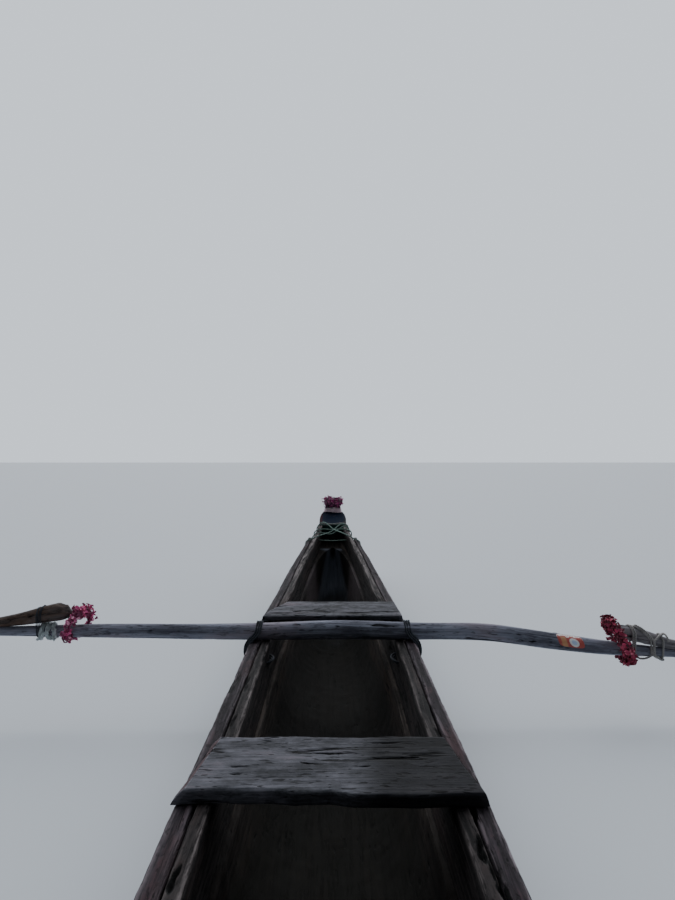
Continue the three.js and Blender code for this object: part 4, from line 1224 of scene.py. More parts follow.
def painted(name):
    """Dark blue boat paint with a green band aft and flakes gone, and a dark red strip along the top of the
    port edge.
    """
    graph = Finish(name)
    grain = graph.fact("grain", "Vector")
    along, across, up = graph.parts(grain)
    fibres = graph.noise(grain, (6.0, 180.0, 180.0), detail=3.0)
    patches = graph.noise(grain, (11.0, 15.0, 15.0), detail=3.0)
    scuffs = graph.noise(grain, (30.0, 70.0, 70.0), detail=4.0, roughness=0.65)
    blue_share = graph.clamped(patches * 1.6 - 0.3)
    blue = graph.colours(blue_share, (0.0022, 0.0052, 0.0135), (0.0072, 0.0145, 0.032))
    high = graph.rise(up + (patches - 0.5) * 0.08, 0.4, 0.47)
    green = graph.colours(high, (0.01, 0.012, 0.016), (0.01, 0.036, 0.033))
    green_share = 1.0 - graph.rise(along + (patches - 0.5) * 0.05, *GREEN_BAND_ENDS)
    colour = graph.colours(green_share, blue, green)
    sheer = BOW_SHEER["z"] + (along - BOW_SHEER["y"]) * BOW_SHEER["slope"]
    # a dark red strip along the top of the port edge
    port_edge = 1.0 - graph.rise(across + (scuffs - 0.5) * 0.03, -0.095, -0.082)
    top_edge = graph.rise(up - sheer + (scuffs - 0.5) * 0.01, -0.034, -0.028)
    red_share = port_edge * top_edge * graph.rise(along, BOW_SHEER["y"], BOW_SHEER["y"] + 0.04)
    colour = graph.colours(red_share, colour, (0.035, 0.006, 0.012))
    flaked = graph.rise(scuffs + graph.fact("wear") * 0.22 + (patches - 0.5) * 0.5, 0.6, 0.64)
    bare = graph.colours(fibres, (0.012, 0.01, 0.01), (0.06, 0.052, 0.05))
    colour = graph.colours(flaked, colour, bare)
    roughness = graph.clamped(0.7 + flaked * 0.2 + scuffs * 0.15)
    height = scuffs * 0.0008 + fibres * 0.0006 - flaked * 0.0006
    dull = {"IOR": 1.12, "Specular IOR Level": 0.15}
    return graph.coat(graph.scaled(colour, 0.75 + scuffs * 0.5), roughness, height, 0.8, dull)


# %% End blocks and the stem head
END_GAP = 0.0003
STEM_HEAD = {
    "y": 3.748, "length": 0.092, "half_width": 0.072, "top_half_width": 0.064, "rubbed_half_width": 0.07,
    "top": 0.646, "sink": 0.012,
}
HEAD_COUNTS = (24, 16, 24, 16)
HEAD_FOOT = gunwale_at(STEM_HEAD["y"])[1]


def end_block(start, end):
    """Rings, grain and wear of the solid end of the hull over the log."""
    y = np.linspace(start, end, round((end - start) / 0.008))
    half, sheer, split, _, foot = hull_at(y)
    corners = [(-half, sheer), (half, sheer), (foot, split + END_GAP), (-foot, split + END_GAP)]
    counts = (26, 13, 16, 13)
    section = rounded(outline(corners, counts), 2)
    rings = stacked(section[..., 0], y[:, None], section[..., 1])
    return rings, rings[..., [1, 0, 2]], edge_wear(corners, counts, 0.012, {0: 1.0, 1: 1.0})


def head_half_width(z):
    """Half the width of the tapered stem head at a height."""
    share = (z - HEAD_FOOT) / (STEM_HEAD["top"] - HEAD_FOOT)
    return mix(STEM_HEAD["half_width"], STEM_HEAD["top_half_width"], share)


def stem_head():
    """Rings, grain and wear of the square head of the stem, from its foot in the block upwards."""
    z = np.arange(HEAD_FOOT - STEM_HEAD["sink"], STEM_HEAD["top"] + 0.0001, 0.004)
    reach = STEM_HEAD["length"] / 2
    section = rounded(outline(box(head_half_width(z), reach, -reach), HEAD_COUNTS), 3)
    rings = stacked(section[..., 0], section[..., 1] + STEM_HEAD["y"], z[:, None])
    rubbed = box(STEM_HEAD["rubbed_half_width"], reach, -reach)
    wear = edge_wear(rubbed, HEAD_COUNTS, 0.01, dict.fromkeys(range(4), 1.0))
    return rings, rings[..., [1, 0, 2]], wear


def joined(name, meshes):
    """One mesh out of several."""
    objects = [linked(f"{name}_{i}", mesh) for i, mesh in enumerate(meshes)]
    with bpy.context.temp_override(active_object=objects[0], selected_editable_objects=objects):
        bpy.ops.object.join()
    mesh = objects[0].data
    bpy.data.objects.remove(objects[0])
    return mesh


BLOCK_RULE = {
    "Waves": 0.0008, "Fibres": 0.0003, "Crack_depth": 0.002, "Crack_density": 0.1, "Wearing": 0.0015,
}
bow_mesh = joined("bow_rings", [
    ring_mesh("deck_rings", *end_block(BOARD["fore"] + END_GAP, STEM)),
    ring_mesh("head_rings", *stem_head()),
])
bow_block = grown(weathering, "bow_block_painted", bow_mesh, painted("bow_paint_finish"), **BLOCK_RULE)
settle(bow_block, ["bow_block"])
stern_block = end_block(STERN, BOARD["aft"] - END_GAP)
wooden("stern_block_hewn", stern_block, woods["log"], "log_wood", ["stern_block"], **BLOCK_RULE)
print("ends:", made("bow_block", "stern_block"))

# %% [markdown]
# ## Rope
# Laid rope is three strands twisted round each other. A curve that twists once every few
# centimetres carries a round profile with three lobes, and that is the whole rule, so one
# Geometry Nodes tree makes every rope of the boat from the line it follows. The tree writes the
# length along the rope and the height on the strand, and the material draws the fibres from them
# and paints shade into the grooves between the strands.

# %% Rope tree
STRANDS = 3
PROFILE_SIDES = 12


def stored(graph, geometry, name, value, domain="POINT"):
    """The geometry with a number written on its points or instances."""
    settings = {"data_type": "FLOAT", "domain": domain}
    inputs = {"Geometry": geometry, "Name": name, "Value": value}
    return graph.node("GeometryNodeStoreNamedAttribute", settings, inputs)


def rope_tree():
    """A rope along the edges of a mesh, twisted once on every lay."""
    graph, given = new_tree("laid rope", {"Radius": 0.0045, "Lay": 0.03, "Step": 0.005})
    line = graph.node("GeometryNodeMeshToCurve", None, {"Mesh": given["Geometry"]})
    even_steps = {"Curve": line, "Length": given["Step"]}
    line = graph.node("GeometryNodeResampleCurve", {"mode": "LENGTH"}, even_steps)
    length = graph.node("GeometryNodeSplineParameter", None, None, "Length")
    twist = length * math.tau / given["Lay"]
    line = graph.node("GeometryNodeSetCurveTilt", None, {"Curve": line, "Tilt": twist})
    line = stored(graph, line, "along", length)
    circle = {"Resolution": PROFILE_SIDES, "Radius": 1.0}
    profile = graph.node("GeometryNodeCurvePrimitiveCircle", None, circle)
    index = graph.node("GeometryNodeInputIndex")
    lobe = abs((index * (math.pi * STRANDS / PROFILE_SIDES)).maths("COSINE"))
    place = graph.scaled(graph.node("GeometryNodeInputPosition"), given["Radius"] * (0.76 + lobe * 0.26))
    profile = graph.node("GeometryNodeSetPosition", None, {"Geometry": profile, "Position": place})
    profile = stored(graph, profile, "strand", lobe)
    profile = stored(graph, profile, "turn", index / float(PROFILE_SIDES))
    skin = {"Curve": line, "Profile Curve": profile, "Fill Caps": True}
    return close_tree(graph, graph.node("GeometryNodeCurveToMesh", None, skin), given["Material"])


laid_rope = rope_tree()


def cordage(name, dark, light, stain):
    """Twisted plant fibre: pale crowns, grooves between the strands darkened as painted shade, and stains."""
    graph = Finish(name)
    along, strand, turn = (graph.fact(fact) for fact in ("along", "strand", "turn"))
    slanting = graph.joined(along * 160.0 + turn * 9.0, turn * 26.0 - along * 120.0, 0.0)
    fibres = graph.noise(slanting, 1.0, detail=3.0)
    blotches = graph.noise(graph.place(), 28.0, detail=3.0)
    # painted shade: the crowns of the strands are lighter and the grooves between them darker
    tone = graph.clamped(strand * 0.55 + fibres * 0.7 + (blotches - 0.5) * 0.7 - 0.15)
    colour = graph.colours(tone, dark, light)
    colour = graph.colours(graph.rise(blotches, 0.5, 0.7) * 0.7, colour, stain)
    # painted shade again: the grooves are dimmed to about half
    colour = graph.scaled(colour, 0.55 + strand * 0.5)
    return graph.coat(colour, graph.clamped(0.8 + fibres * 0.2), fibres * 0.0009)


dark_rope = cordage("dark_rope_finish", (0.009, 0.011, 0.015), (0.052, 0.062, 0.08), (0.022, 0.021, 0.02))
pale_rope = cordage("pale_rope_finish", (0.12, 0.11, 0.105), (0.52, 0.5, 0.48), (0.2, 0.185, 0.175))
green_rope = cordage("green_rope_finish", (0.045, 0.08, 0.068), (0.27, 0.4, 0.34), (0.08, 0.11, 0.1))


def roped(name, points, radius, lay, material, replaced, step=0.005):
    """A laid rope along a line of points."""
    mesh = bpy.data.meshes.new(name + "_line")
    mesh.from_pydata(points.tolist(), [(i, i + 1) for i in range(len(points) - 1)], [])
    piece = grown(laid_rope, name, mesh, material, Radius=radius, Lay=lay, Step=step)
    return settle(piece, replaced, crease=75.0)


print("ropes:", dark_rope.name, pale_rope.name, green_rope.name)

# %% [markdown]
# A lashing is one rope led several times round the same way. The way is a closed smooth loop
# through corner points, half of it written down and half of it mirrored: over the boom, down
# outside the rail, in through a hole in the board and out through the other. Each turn lies beside
# the last one, so the rope shifts sideways by a little more than its own thickness on every turn.

# %% Turns of rope
def mirrored(route, axis):
    """A closed loop of corners: out along a route, back along its mirror image."""
    back = [[-v if k == axis else v for k, v in enumerate(point)] for point in route[::-1] if point[axis]]
    return np.array([*route, *back], float)


def closed_route(corners, step):
    """Even points on a smooth loop through corner points."""
    wrapped = np.concatenate([corners[-3:], corners, corners[:4]])
    places = length_along(wrapped)
    start, end = places[3], places[3 + len(corners)]
    steps = np.linspace(start, end, round((end - start) / step), endpoint=False)
    return smooth_table(np.column_stack([places, wrapped]))(steps)


def wound(route, turns, pitch, centre, seed, loose=0.0008):
    """One line led round a closed route several times, each turn beside the last one."""
    tangent = unit(np.roll(route, -1, axis=0) - np.roll(route, 1, axis=0))
    beside = unit(np.cross(tangent, route - centre))
    count = len(route)
    index = np.arange(round(turns * count))
    shift = (index / count - turns / 2) * pitch
    slack = wander(index / count, seed, 0.11) * loose
    outward = unit(np.cross(beside, tangent))[index % count]
    return route[index % count] + beside[index % count] * shift[:, None] - outward * slack[:, None]


def boom_line(boom):
    """A function that gives a boom's height and radius at places across the boat."""
    table = np.array(boom_rows(boom)) * MM
    return smooth_table(table[:, [0, 2, 3]])


# %% Boom lashings
BOOM_ROPE = {
    "radius": 0.009, "reach": 0.062, "drop": 0.082, "ease": 0.008, "strand": 0.0044, "lay": 0.028,
    "turns": 2.9, "pitch": 0.0088, "step": 0.006, "start": 30,
}


def boom_lashing(boom, side):
    """The line of the rope that ties a boom down to one side board."""
    y = BOOMS[boom][0] * MM
    half, sheer = gunwale_at(y)
    boom_z, boom_radius = boom_line(boom)(side * half)[0]
    ease, reach, low = BOOM_ROPE["ease"], BOOM_ROPE["reach"], sheer - BOOM_ROPE["drop"]
    outside = half + RAIL["width"] + BOOM_ROPE["radius"] - 0.002
    inside = half - BOARD["thickness"] - BOOM_ROPE["radius"]
    route = [
        (half + ease, 0, boom_z + boom_radius + BOOM_ROPE["radius"] - 0.003),
        (half + 2 * ease, boom_radius + ease, boom_z), (outside, reach - ease, sheer - ease),
        (outside, reach, sheer - RAIL["depth"] + ease), (half + ease, reach, low),
        (half - BOARD["thickness"] / 2, reach, low), (inside, reach - 3 * ease, low),
    ]
    loop = closed_route(mirrored(route, 1) * (side, 1, 1) + (0, y, 0), BOOM_ROPE["step"])
    loop = np.roll(loop, -BOOM_ROPE["start"], axis=0)
    centre = np.array([side * (half + 0.01), y, sheer - 0.02])
    return wound(loop, BOOM_ROPE["turns"], BOOM_ROPE["pitch"], centre, seed=7)


for boom in BOOMS:
    for side_name, side in SIDES.items():
        name = f"{boom}_{side_name}"
        roped(f"boom_rope_{name}", boom_lashing(boom, side), BOOM_ROPE["strand"], BOOM_ROPE["lay"],
              dark_rope, [f"boom_lashing_{name}"])
print("boom lashings:", made("boom_rope"))


# %% [markdown]
# The arm is tied to its boom by turns round the two poles together. For each direction outwards
# the rope touches whichever pole reaches farther that way, which is the rule for a band stretched
# round two circles. A table of turns leads the rope back and forth, so its slanting parts cross.

# %% Arm lashings
ARM_ROPE_RADIUS = 0.0043
ARM_WRAPS = [
    # arm, part, inner and outer distance from the centreline, in mm
    ("fore_starboard", "inner", 1190, 1335),
    ("fore_port", "outer", 1425, 1500),
    ("fore_starboard", "outer", 1425, 1500),
    ("aft_port", "inner", 1110, 1200),
    ("aft_port", "outer", 1425, 1500),
    ("aft_starboard", "inner", 1130, 1220),
    ("aft_starboard", "outer", 1425, 1500),
]
LEAD = [
    # turns round the poles, share of the way outboard, layer of rope
    (0.0, 0.03, 1.0), (2.0, 0.2, 1.0), (2.5, 0.8, 1.0), (4.9, 0.98, 1.0), (5.02, 0.96, 1.6),
    (5.5, 0.3, 2.9), (6.0, 0.24, 2.9), (6.5, 0.86, 2.9), (7.2, 0.9, 2.9),
]
LOOSE_LEAD = [
    (0.0, 0.0, 1.0), (1.0, 0.05, 1.0), (2.1, 0.14, 1.0), (2.55, 0.8, 1.2), (4.1, 0.93, 1.2),
    (4.6, 0.3, 2.3), (5.1, 0.2, 2.3), (5.6, 0.97, 2.8), (6.3, 1.0, 2.8),
]
CORD_LEAD = [
    (0.0, 0.0, 1.0), (1.3, 0.35, 1.0), (1.8, 0.75, 1.0), (3.1, 1.0, 1.0), (3.6, 0.2, 2.2), (4.1, 0.1, 2.2),
]
CORD = {"arm": "fore_port", "inner": 1.152, "outer": 1.176, "radius": 0.0021}
LEAD_START = math.radians(55)
POINTS_A_TURN = 64


def two_poles(arm, outboard):
    """Height and radius of the boom and of the arm at distances from the centreline."""
    boom, side = arm.split("_")
    arm_line = smooth_table(np.array(ARMS[arm][:6]) * MM)
    return boom_line(boom)(SIDES[side] * outboard), arm_line(outboard)


def round_pole(arm, outboard, z, reach, angle):
    """Points at a reach from a pole's middle, in directions across it."""
    boom, side = arm.split("_")
    y = BOOMS[boom][0] * MM + reach * np.cos(angle)
    return stacked(SIDES[side] * outboard, y, z + reach * np.sin(angle))


def arm_lashing(arm, inner, outer, seed, lead, radius=ARM_ROPE_RADIUS):
    """The line of a rope stretched round the boom and the arm, led by a table of turns."""
    lead = np.array(lead)
    turn = np.arange(0, lead[-1, 0], 1 / POINTS_A_TURN)
    share = np.interp(turn, lead[:, 0], lead[:, 1])
    layer = np.interp(turn, lead[:, 0], lead[:, 2])
    outboard = mix(inner, outer, share) + 0.0014 * wander(turn, seed, 0.3)
    angle = turn * 2 * np.pi + LEAD_START
    boom_sizes, arm_sizes = two_poles(arm, outboard)
    higher, thicker = (arm_sizes - boom_sizes).T
    z, pole_radius = np.where((higher * np.sin(angle) + thicker > 0)[:, None], arm_sizes, boom_sizes).T
    return round_pole(arm, outboard, z, pole_radius + layer * radius, angle)


for seed, (arm, part, inner, outer) in enumerate(ARM_WRAPS):
    lead = LOOSE_LEAD if (arm, part) == ("fore_starboard", "inner") else LEAD
    line = arm_lashing(arm, inner * MM, outer * MM, 60 + seed, lead)
    roped(f"arm_rope_{arm}_{part}", line, ARM_ROPE_RADIUS, 0.026, pale_rope,
          [f"arm_lashing_{arm}_{part}"])
cord = arm_lashing(**CORD, seed=71, lead=CORD_LEAD)
roped("arm_cord_fore_port", cord, CORD["radius"], 0.016, dark_rope, [], step=0.004)
print("arm lashings:", made("arm_rope", "arm_cord"))

# %% Float lashings
FLOAT_ROPE = {
    "radius": 0.007, "reach": 0.039, "drop": 0.052, "ease": 0.004, "strand": 0.0034, "lay": 0.022,
    "turns": 2.9, "pitch": 0.0068, "step": 0.005,
}


def float_lashing(arm):
    """The line of the rope that ties an arm's foot to its float."""
    boom, side_name = arm.split("_")
    side, y = SIDES[side_name], BOOMS[boom][0] * MM
    outer = FLOAT["thickness"] / 2 + FLOAT_ROPE["radius"] - 0.002
    foot = ARM_FOOT[-2][2] * MM
    reach, ease = FLOAT_ROPE["reach"], FLOAT_ROPE["ease"]
    z = FLOAT["half_depth"] - FLOAT_ROPE["drop"]
    route = [
        (outer, 0, z), (outer - ease, reach - 2 * ease, z), (0, reach, z), (-outer, reach - ease, z),
        (-outer - foot, foot + FLOAT_ROPE["radius"], z), (-outer - 2 * foot, 0, z),
    ]
    loop = closed_route(mirrored(route, 1) * (side, 1, 1), FLOAT_ROPE["step"])
    centre = np.array([-side * foot, 0.0, z])
    line = wound(loop, FLOAT_ROPE["turns"], FLOAT_ROPE["pitch"], centre, seed=3, loose=0.0004)
    return float_place(side, line[:, 0], y + line[:, 1], line[:, 2])


for arm in ARMS:
    roped(f"float_rope_{arm}", float_lashing(arm), FLOAT_ROPE["strand"], FLOAT_ROPE["lay"], pale_rope,
          [f"float_lashing_{arm}"], step=0.004)
print("float lashings:", made("float_rope"))

# %% [markdown]
# ## Ropes at the bow
# A green rope ties the two boards together across the bow: over both gunwales, through their holes
# and back below. Three more green strands cross over it, each tucked over the gunwale and into the
# board at both ends, and a pale one runs straight along the edge of the block.

# %% Bow ropes
BOW_ROPE = {
    "y": 3.11, "radius": 0.009, "drop": 0.07, "ease": 0.006, "strand": 0.0044, "lay": 0.028,
    "turns": 1.95, "pitch": 0.0092, "step": 0.006,
}
BOW_STRANDS = [
    # name, y at the port and the starboard gunwale, sag, lift over the ropes below, radius, in mm,
    # and the slot of the finish
    ("bow_rope_cross_a", (2800, 3205), 0, 9, 4.4, "green_rope"),
    ("bow_rope_cross_b", (3215, 2785), -9, 14, 4.4, "green_rope"),
    ("bow_rope_cross_c", (2925, 3160), 22, 8, 4.2, "green_rope"),
    ("bow_rope_straight", (3292, 3296), 0, 1, 5.0, "rope"),
]
STRAND_LAY = 0.027


def bow_lashing():
    """The line of the green rope round both boards."""
    y = BOW_ROPE["y"]
    half, sheer = gunwale_at(y)
    ease, low = BOW_ROPE["ease"], sheer - BOW_ROPE["drop"]
    over = sheer + BOW_ROPE["radius"] - 0.003
    outside = half + BOW_ROPE["radius"] - 0.002
    route = [
        (0, y, over), (half - BOARD["lip_width"] / 2, y, over), (outside, y, sheer - ease),
        (outside, y, low + 2 * ease), (half - BOARD["thickness"] / 2, y, low),
        (half - BOARD["lip_width"] - 4 * ease, y, low - ease),
    ]
    loop = closed_route(mirrored(route, 0), BOW_ROPE["step"])
    return wound(loop, BOW_ROPE["turns"], BOW_ROPE["pitch"], np.array([0, y, sheer - 0.03]), seed=5)


def across_bow(starts, sag, lift, radius):
    """A strand from the port gunwale to the starboard one, tucked over both edges."""
    tucks = []
    for side, y in zip((-1, 1), starts):
        half, sheer = gunwale_at(y)
        railed = y < RAIL["fore"] + radius
        outer = half + radius + (RAIL["tip_width"] if railed else 0.0)
        drop = RAIL["depth"] + 0.01 if railed else 0.042
        places = [(half - 0.01, -drop), (outer, 0.016 - drop), (outer, -0.008), (half - 0.012, radius + lift)]
        tucks.append([(side * x, y, sheer + z) for x, z in places])
    port, starboard = tucks
    middle = (np.array(port[-1]) + starboard[-1]) / 2 - (0, 0, sag)
    return smooth_route([*port, tuple(middle), *starboard[::-1]], BOW_ROPE["step"])[1]


roped("bow_rope_loop", bow_lashing(), BOW_ROPE["strand"], BOW_ROPE["lay"], green_rope,
      ["bow_lashing"])
for name, starts, sag, lift, radius, slot in BOW_STRANDS:
    line = across_bow([y * MM for y in starts], sag * MM, lift * MM, radius * MM)
    material = pale_rope if slot == "rope" else green_rope
    roped(name, line, radius * MM, STRAND_LAY, material, [])
print("bow ropes:", made("bow_rope"))


# %% [markdown]
# ## Cloth: a wound rag and a band round the stem head
# Both cloths are strips. A strip is a thin closed ribbon: a row of points across its upper face and
# a row back along its lower face, on every step of a path. Soft folds run along the path and slide
# across it, and the edges curl. The rag is wound round the boom at the port arm, with its ends
# hanging down. The bow's strip goes once round the stem head and is tied on its aft face.

# %% Ribbons
THREADS = 5200.0


def both_faces(upper, lower):
    """Rows across the upper face of a thin strip and back along its lower face."""
    return np.concatenate([upper, lower[:, ::-1]], axis=1)


def ribbon(path, outward, width, thickness, seed, folds=3.0, fold_depth=0.002, points_across=14):
    """Rings, grain and hem of a thin strip of cloth along a path, its upper face turned outward."""
    length = length_along(path)
    tangent = unit(np.gradient(path, axis=0))
    outward = unit(outward)
    across = unit(np.cross(tangent, outward))
    v = np.linspace(-1, 1, points_across)
    drift = wander(length, seed, 0.07)[:, None]
    swell = 1 + 0.14 * wander(length, seed + 1, 0.05)[:, None]
    height = fold_depth * np.sin(folds * np.pi * v + 2.4 * drift) * (0.6 + 0.4 * np.cos(7 * v + 3 * drift))
    height = height - 0.5 * fold_depth * v**6 + fold_depth
    slide = 0.5 * width * swell * (v + 0.1 * np.sin(folds * np.pi * v + 2.4 * drift))
    upper = path[:, None] + across[:, None] * slide[..., None] + outward[:, None] * height[..., None]
    lower = upper - outward[:, None] * thickness
    weave = stacked(length[:, None], slide, height)
    hem = np.abs(np.concatenate([v, v[::-1]])) ** 8
    return both_faces(upper, lower), both_faces(weave, weave), hem


def cloth(name, dark, light, stain, stain_share):
    """Plain weave: crossed threads, dirt in the folds and stains."""
    graph = Finish(name)
    grain = graph.fact("grain", "Vector")
    along, across, _ = graph.parts(grain)
    weave = (along * THREADS).maths("SINE") * (across * THREADS).maths("SINE") * 0.5 + 0.5
    blotches = graph.noise(grain, 34.0, detail=4.0, roughness=0.6)
    slubs = graph.noise(grain, (60.0, 900.0, 60.0), detail=2.0)
    colour = graph.colours(graph.clamped(blotches * 1.3 - 0.15 + (slubs - 0.5) * 0.5), dark, light)
    colour = graph.colours(graph.rise(blotches, 0.52, 0.68) * stain_share, colour, stain)
    return graph.coat(graph.scaled(colour, 0.86 + weave * 0.2), 0.92, weave * 0.0002 + blotches * 0.0008)


rag_finish = cloth("rag_finish", (0.22, 0.27, 0.28), (0.85, 0.9, 0.9), (0.13, 0.13, 0.12), 0.6)
pink_finish = cloth(
    "pink_cloth_finish", (0.5, 0.34, 0.38), (0.95, 0.78, 0.82), (0.55, 0.46, 0.47), 0.4)


def cloth_piece(name, parts, material, replaced):
    """A piece made of ribbons."""
    mesh = joined(name + "_parts", [ring_mesh(f"{name}_part_{i}", *part) for i, part in enumerate(parts)])
    mesh.materials.append(material)
    piece = settle(linked(name, mesh), replaced, crease=70.0)
    return piece


print("cloth finishes:", rag_finish.name, pink_finish.name)

# %% The rag
RAG_STRIPS = [
    # inner and outer distance from the centreline, turns, start in degrees, width and lift, in mm
    (1098, 1158, 2.3, 150, 17, 3.0),
    (1140, 1108, 1.4, 30, 13, 6.0),
    (1122, 1166, 1.2, 200, 10, 5.0),
]
RAG_TAILS = [
    # distance from the centreline, direction in degrees, length, sideways lean, width, in mm
    (1150, 190, 24, 13, 11),
    (1128, 160, 24, 16, 10),
    (1104, 205, 16, -10, 10),
]
RAG_THICKNESS = 0.0013
RAG_ARM = "fore_port"
STEPS_A_TURN = 56


def round_boom(outboard, angle, thickness):
    """Points round the boom alone."""
    z, radius = two_poles(RAG_ARM, outboard)[0].T
    return round_pole(RAG_ARM, outboard, z, radius + thickness, angle)


def rag_strip(inner, outer, turns, start, width, lift, seed):
    """A strip wound round the boom, a little higher on each turn."""
    turn = np.arange(round(turns * STEPS_A_TURN)) / STEPS_A_TURN
    outboard = mix(inner, outer, turn / turns) * MM + 0.005 * wander(turn, seed, 0.35)
    angle = turn * 2 * np.pi + math.radians(start)
    loose = lift * MM + 0.0016 * turn + 0.0015 * wander(turn, seed + 3, 0.2)
    outward = stacked(1.1 * wander(turn, seed + 2, 0.16), np.cos(angle), np.sin(angle))
    path = round_boom(outboard, angle, loose)
    return ribbon(path, outward, width * MM, RAG_THICKNESS, seed, folds=3.5, fold_depth=0.0036)


def rag_tail(outboard, direction, length, lean, width, seed):
    """A loose end that hangs from the windings on the aft side."""
    x, y, z = round_boom(np.array([outboard * MM]), np.array([math.radians(direction)]), 0.006)[0]
    share = np.linspace(0, 1, 24)
    sway = wander(share, seed, 0.3)
    side = x - lean * MM * share + 0.004 * sway
    path = stacked(side, y - 0.006 - 0.008 * np.sin(3 * share), z - length * MM * share)
    outward = stacked(0.5 * sway, -1.0, 0.2)
    return ribbon(path, outward, width * MM, RAG_THICKNESS, seed, folds=2.0, fold_depth=0.003)


rag_parts = [rag_strip(*row, 91 + 4 * i) for i, row in enumerate(RAG_STRIPS)]
rag_parts += [rag_tail(*row, 111 + 4 * i) for i, row in enumerate(RAG_TAILS)]
cloth_piece("rag_wound", rag_parts, rag_finish, ["arm_lashing_fore_port_inner"])
print("rag:", made("rag"))


# %% The band round the stem head
CLOTH = {"z": 0.603, "width": 0.055, "thickness": 0.0016, "flare": 0.3, "corner_power": 0.28}
KNOT = {"x": 0.01, "width": 0.017, "half_height": 0.015, "half_depth": 0.007}
KNOT_TAILS = [
    # sideways reach, drop, width, in mm
    (-17, 27, 17),
    (13, 30, 15),
]
FRONT = STEM_HEAD["y"] - STEM_HEAD["length"] / 2 - 0.008


def head_loop(grow, start):
    """A path once round the stem head's four faces, with round corners, and the way it faces."""
    angle = start + np.linspace(0, 2 * np.pi, 70)
    cos, sin = np.cos(angle), np.sin(angle)
    x = (head_half_width(CLOTH["z"]) + grow) * np.sign(cos) * np.abs(cos) ** CLOTH["corner_power"]
    y = (STEM_HEAD["length"] / 2 + grow) * np.sign(sin) * np.abs(sin) ** CLOTH["corner_power"]
    return stacked(x, y + STEM_HEAD["y"], CLOTH["z"]), stacked(cos, sin, CLOTH["flare"])


def even(path, outward, step):
    """The same path with its points at even steps."""
    length = length_along(path)
    steps = np.linspace(0, length[-1], round(length[-1] / step))
    return [stacked(*(np.interp(steps, length, column) for column in values.T)) for values in (path, outward)]


def knot_part(path, outward, width, seed):
    """A short narrow piece of the band's cloth."""
    return ribbon(path, outward, width, CLOTH["thickness"], seed, folds=2.0, fold_depth=0.0025)


def knot_loop():
    """A short strip wrapped over the band, which makes the knot."""
    angle = np.linspace(0, 2 * np.pi, 40)
    y = FRONT - 0.004 - KNOT["half_depth"] * np.cos(angle)
    z = CLOTH["z"] + KNOT["half_height"] * np.sin(angle)
    outward = stacked(0.3 * np.sin(3 * angle), -np.cos(angle), np.sin(angle))
    return knot_part(stacked(KNOT["x"], y, z), outward, KNOT["width"], seed=121)


def knot_tail(reach, drop, width, seed):
    """An end of the strip that hangs from the knot."""
    share = np.linspace(0, 1, 22)
    x = KNOT["x"] + reach * MM * share
    y = FRONT - 0.006 - 0.01 * np.sin(2.6 * share) - 0.006 * share
    z = CLOTH["z"] + 0.006 * np.sin(np.pi * share) - drop * MM * share**1.4
    outward = stacked(0.3 * np.sin(4 * share), -1.0, 0.3)
    return knot_part(stacked(x, y, z), outward, width * MM, seed)


band_path = even(*head_loop(0.0012, -1.5), 0.006)
band = ribbon(*band_path, CLOTH["width"], CLOTH["thickness"], seed=101, folds=4.0, fold_depth=0.0022)
band_parts = [band, knot_loop()] + [knot_tail(*row, 131 + i) for i, row in enumerate(KNOT_TAILS)]
cloth_piece("stem_band", band_parts, pink_finish, ["bow_cloth"])
print("band:", made("stem_band"))

# %% [markdown]
# ## Flower garlands
# Each garland is hundreds of petals threaded close together on a string. A ring-shaped skin stands
# for the thread's bulk; points are strewn on it, and on each point sits one cupped petal with its
# own size, turn and tint. Noise makes clumps and thin places, as on a garland that has wilted.

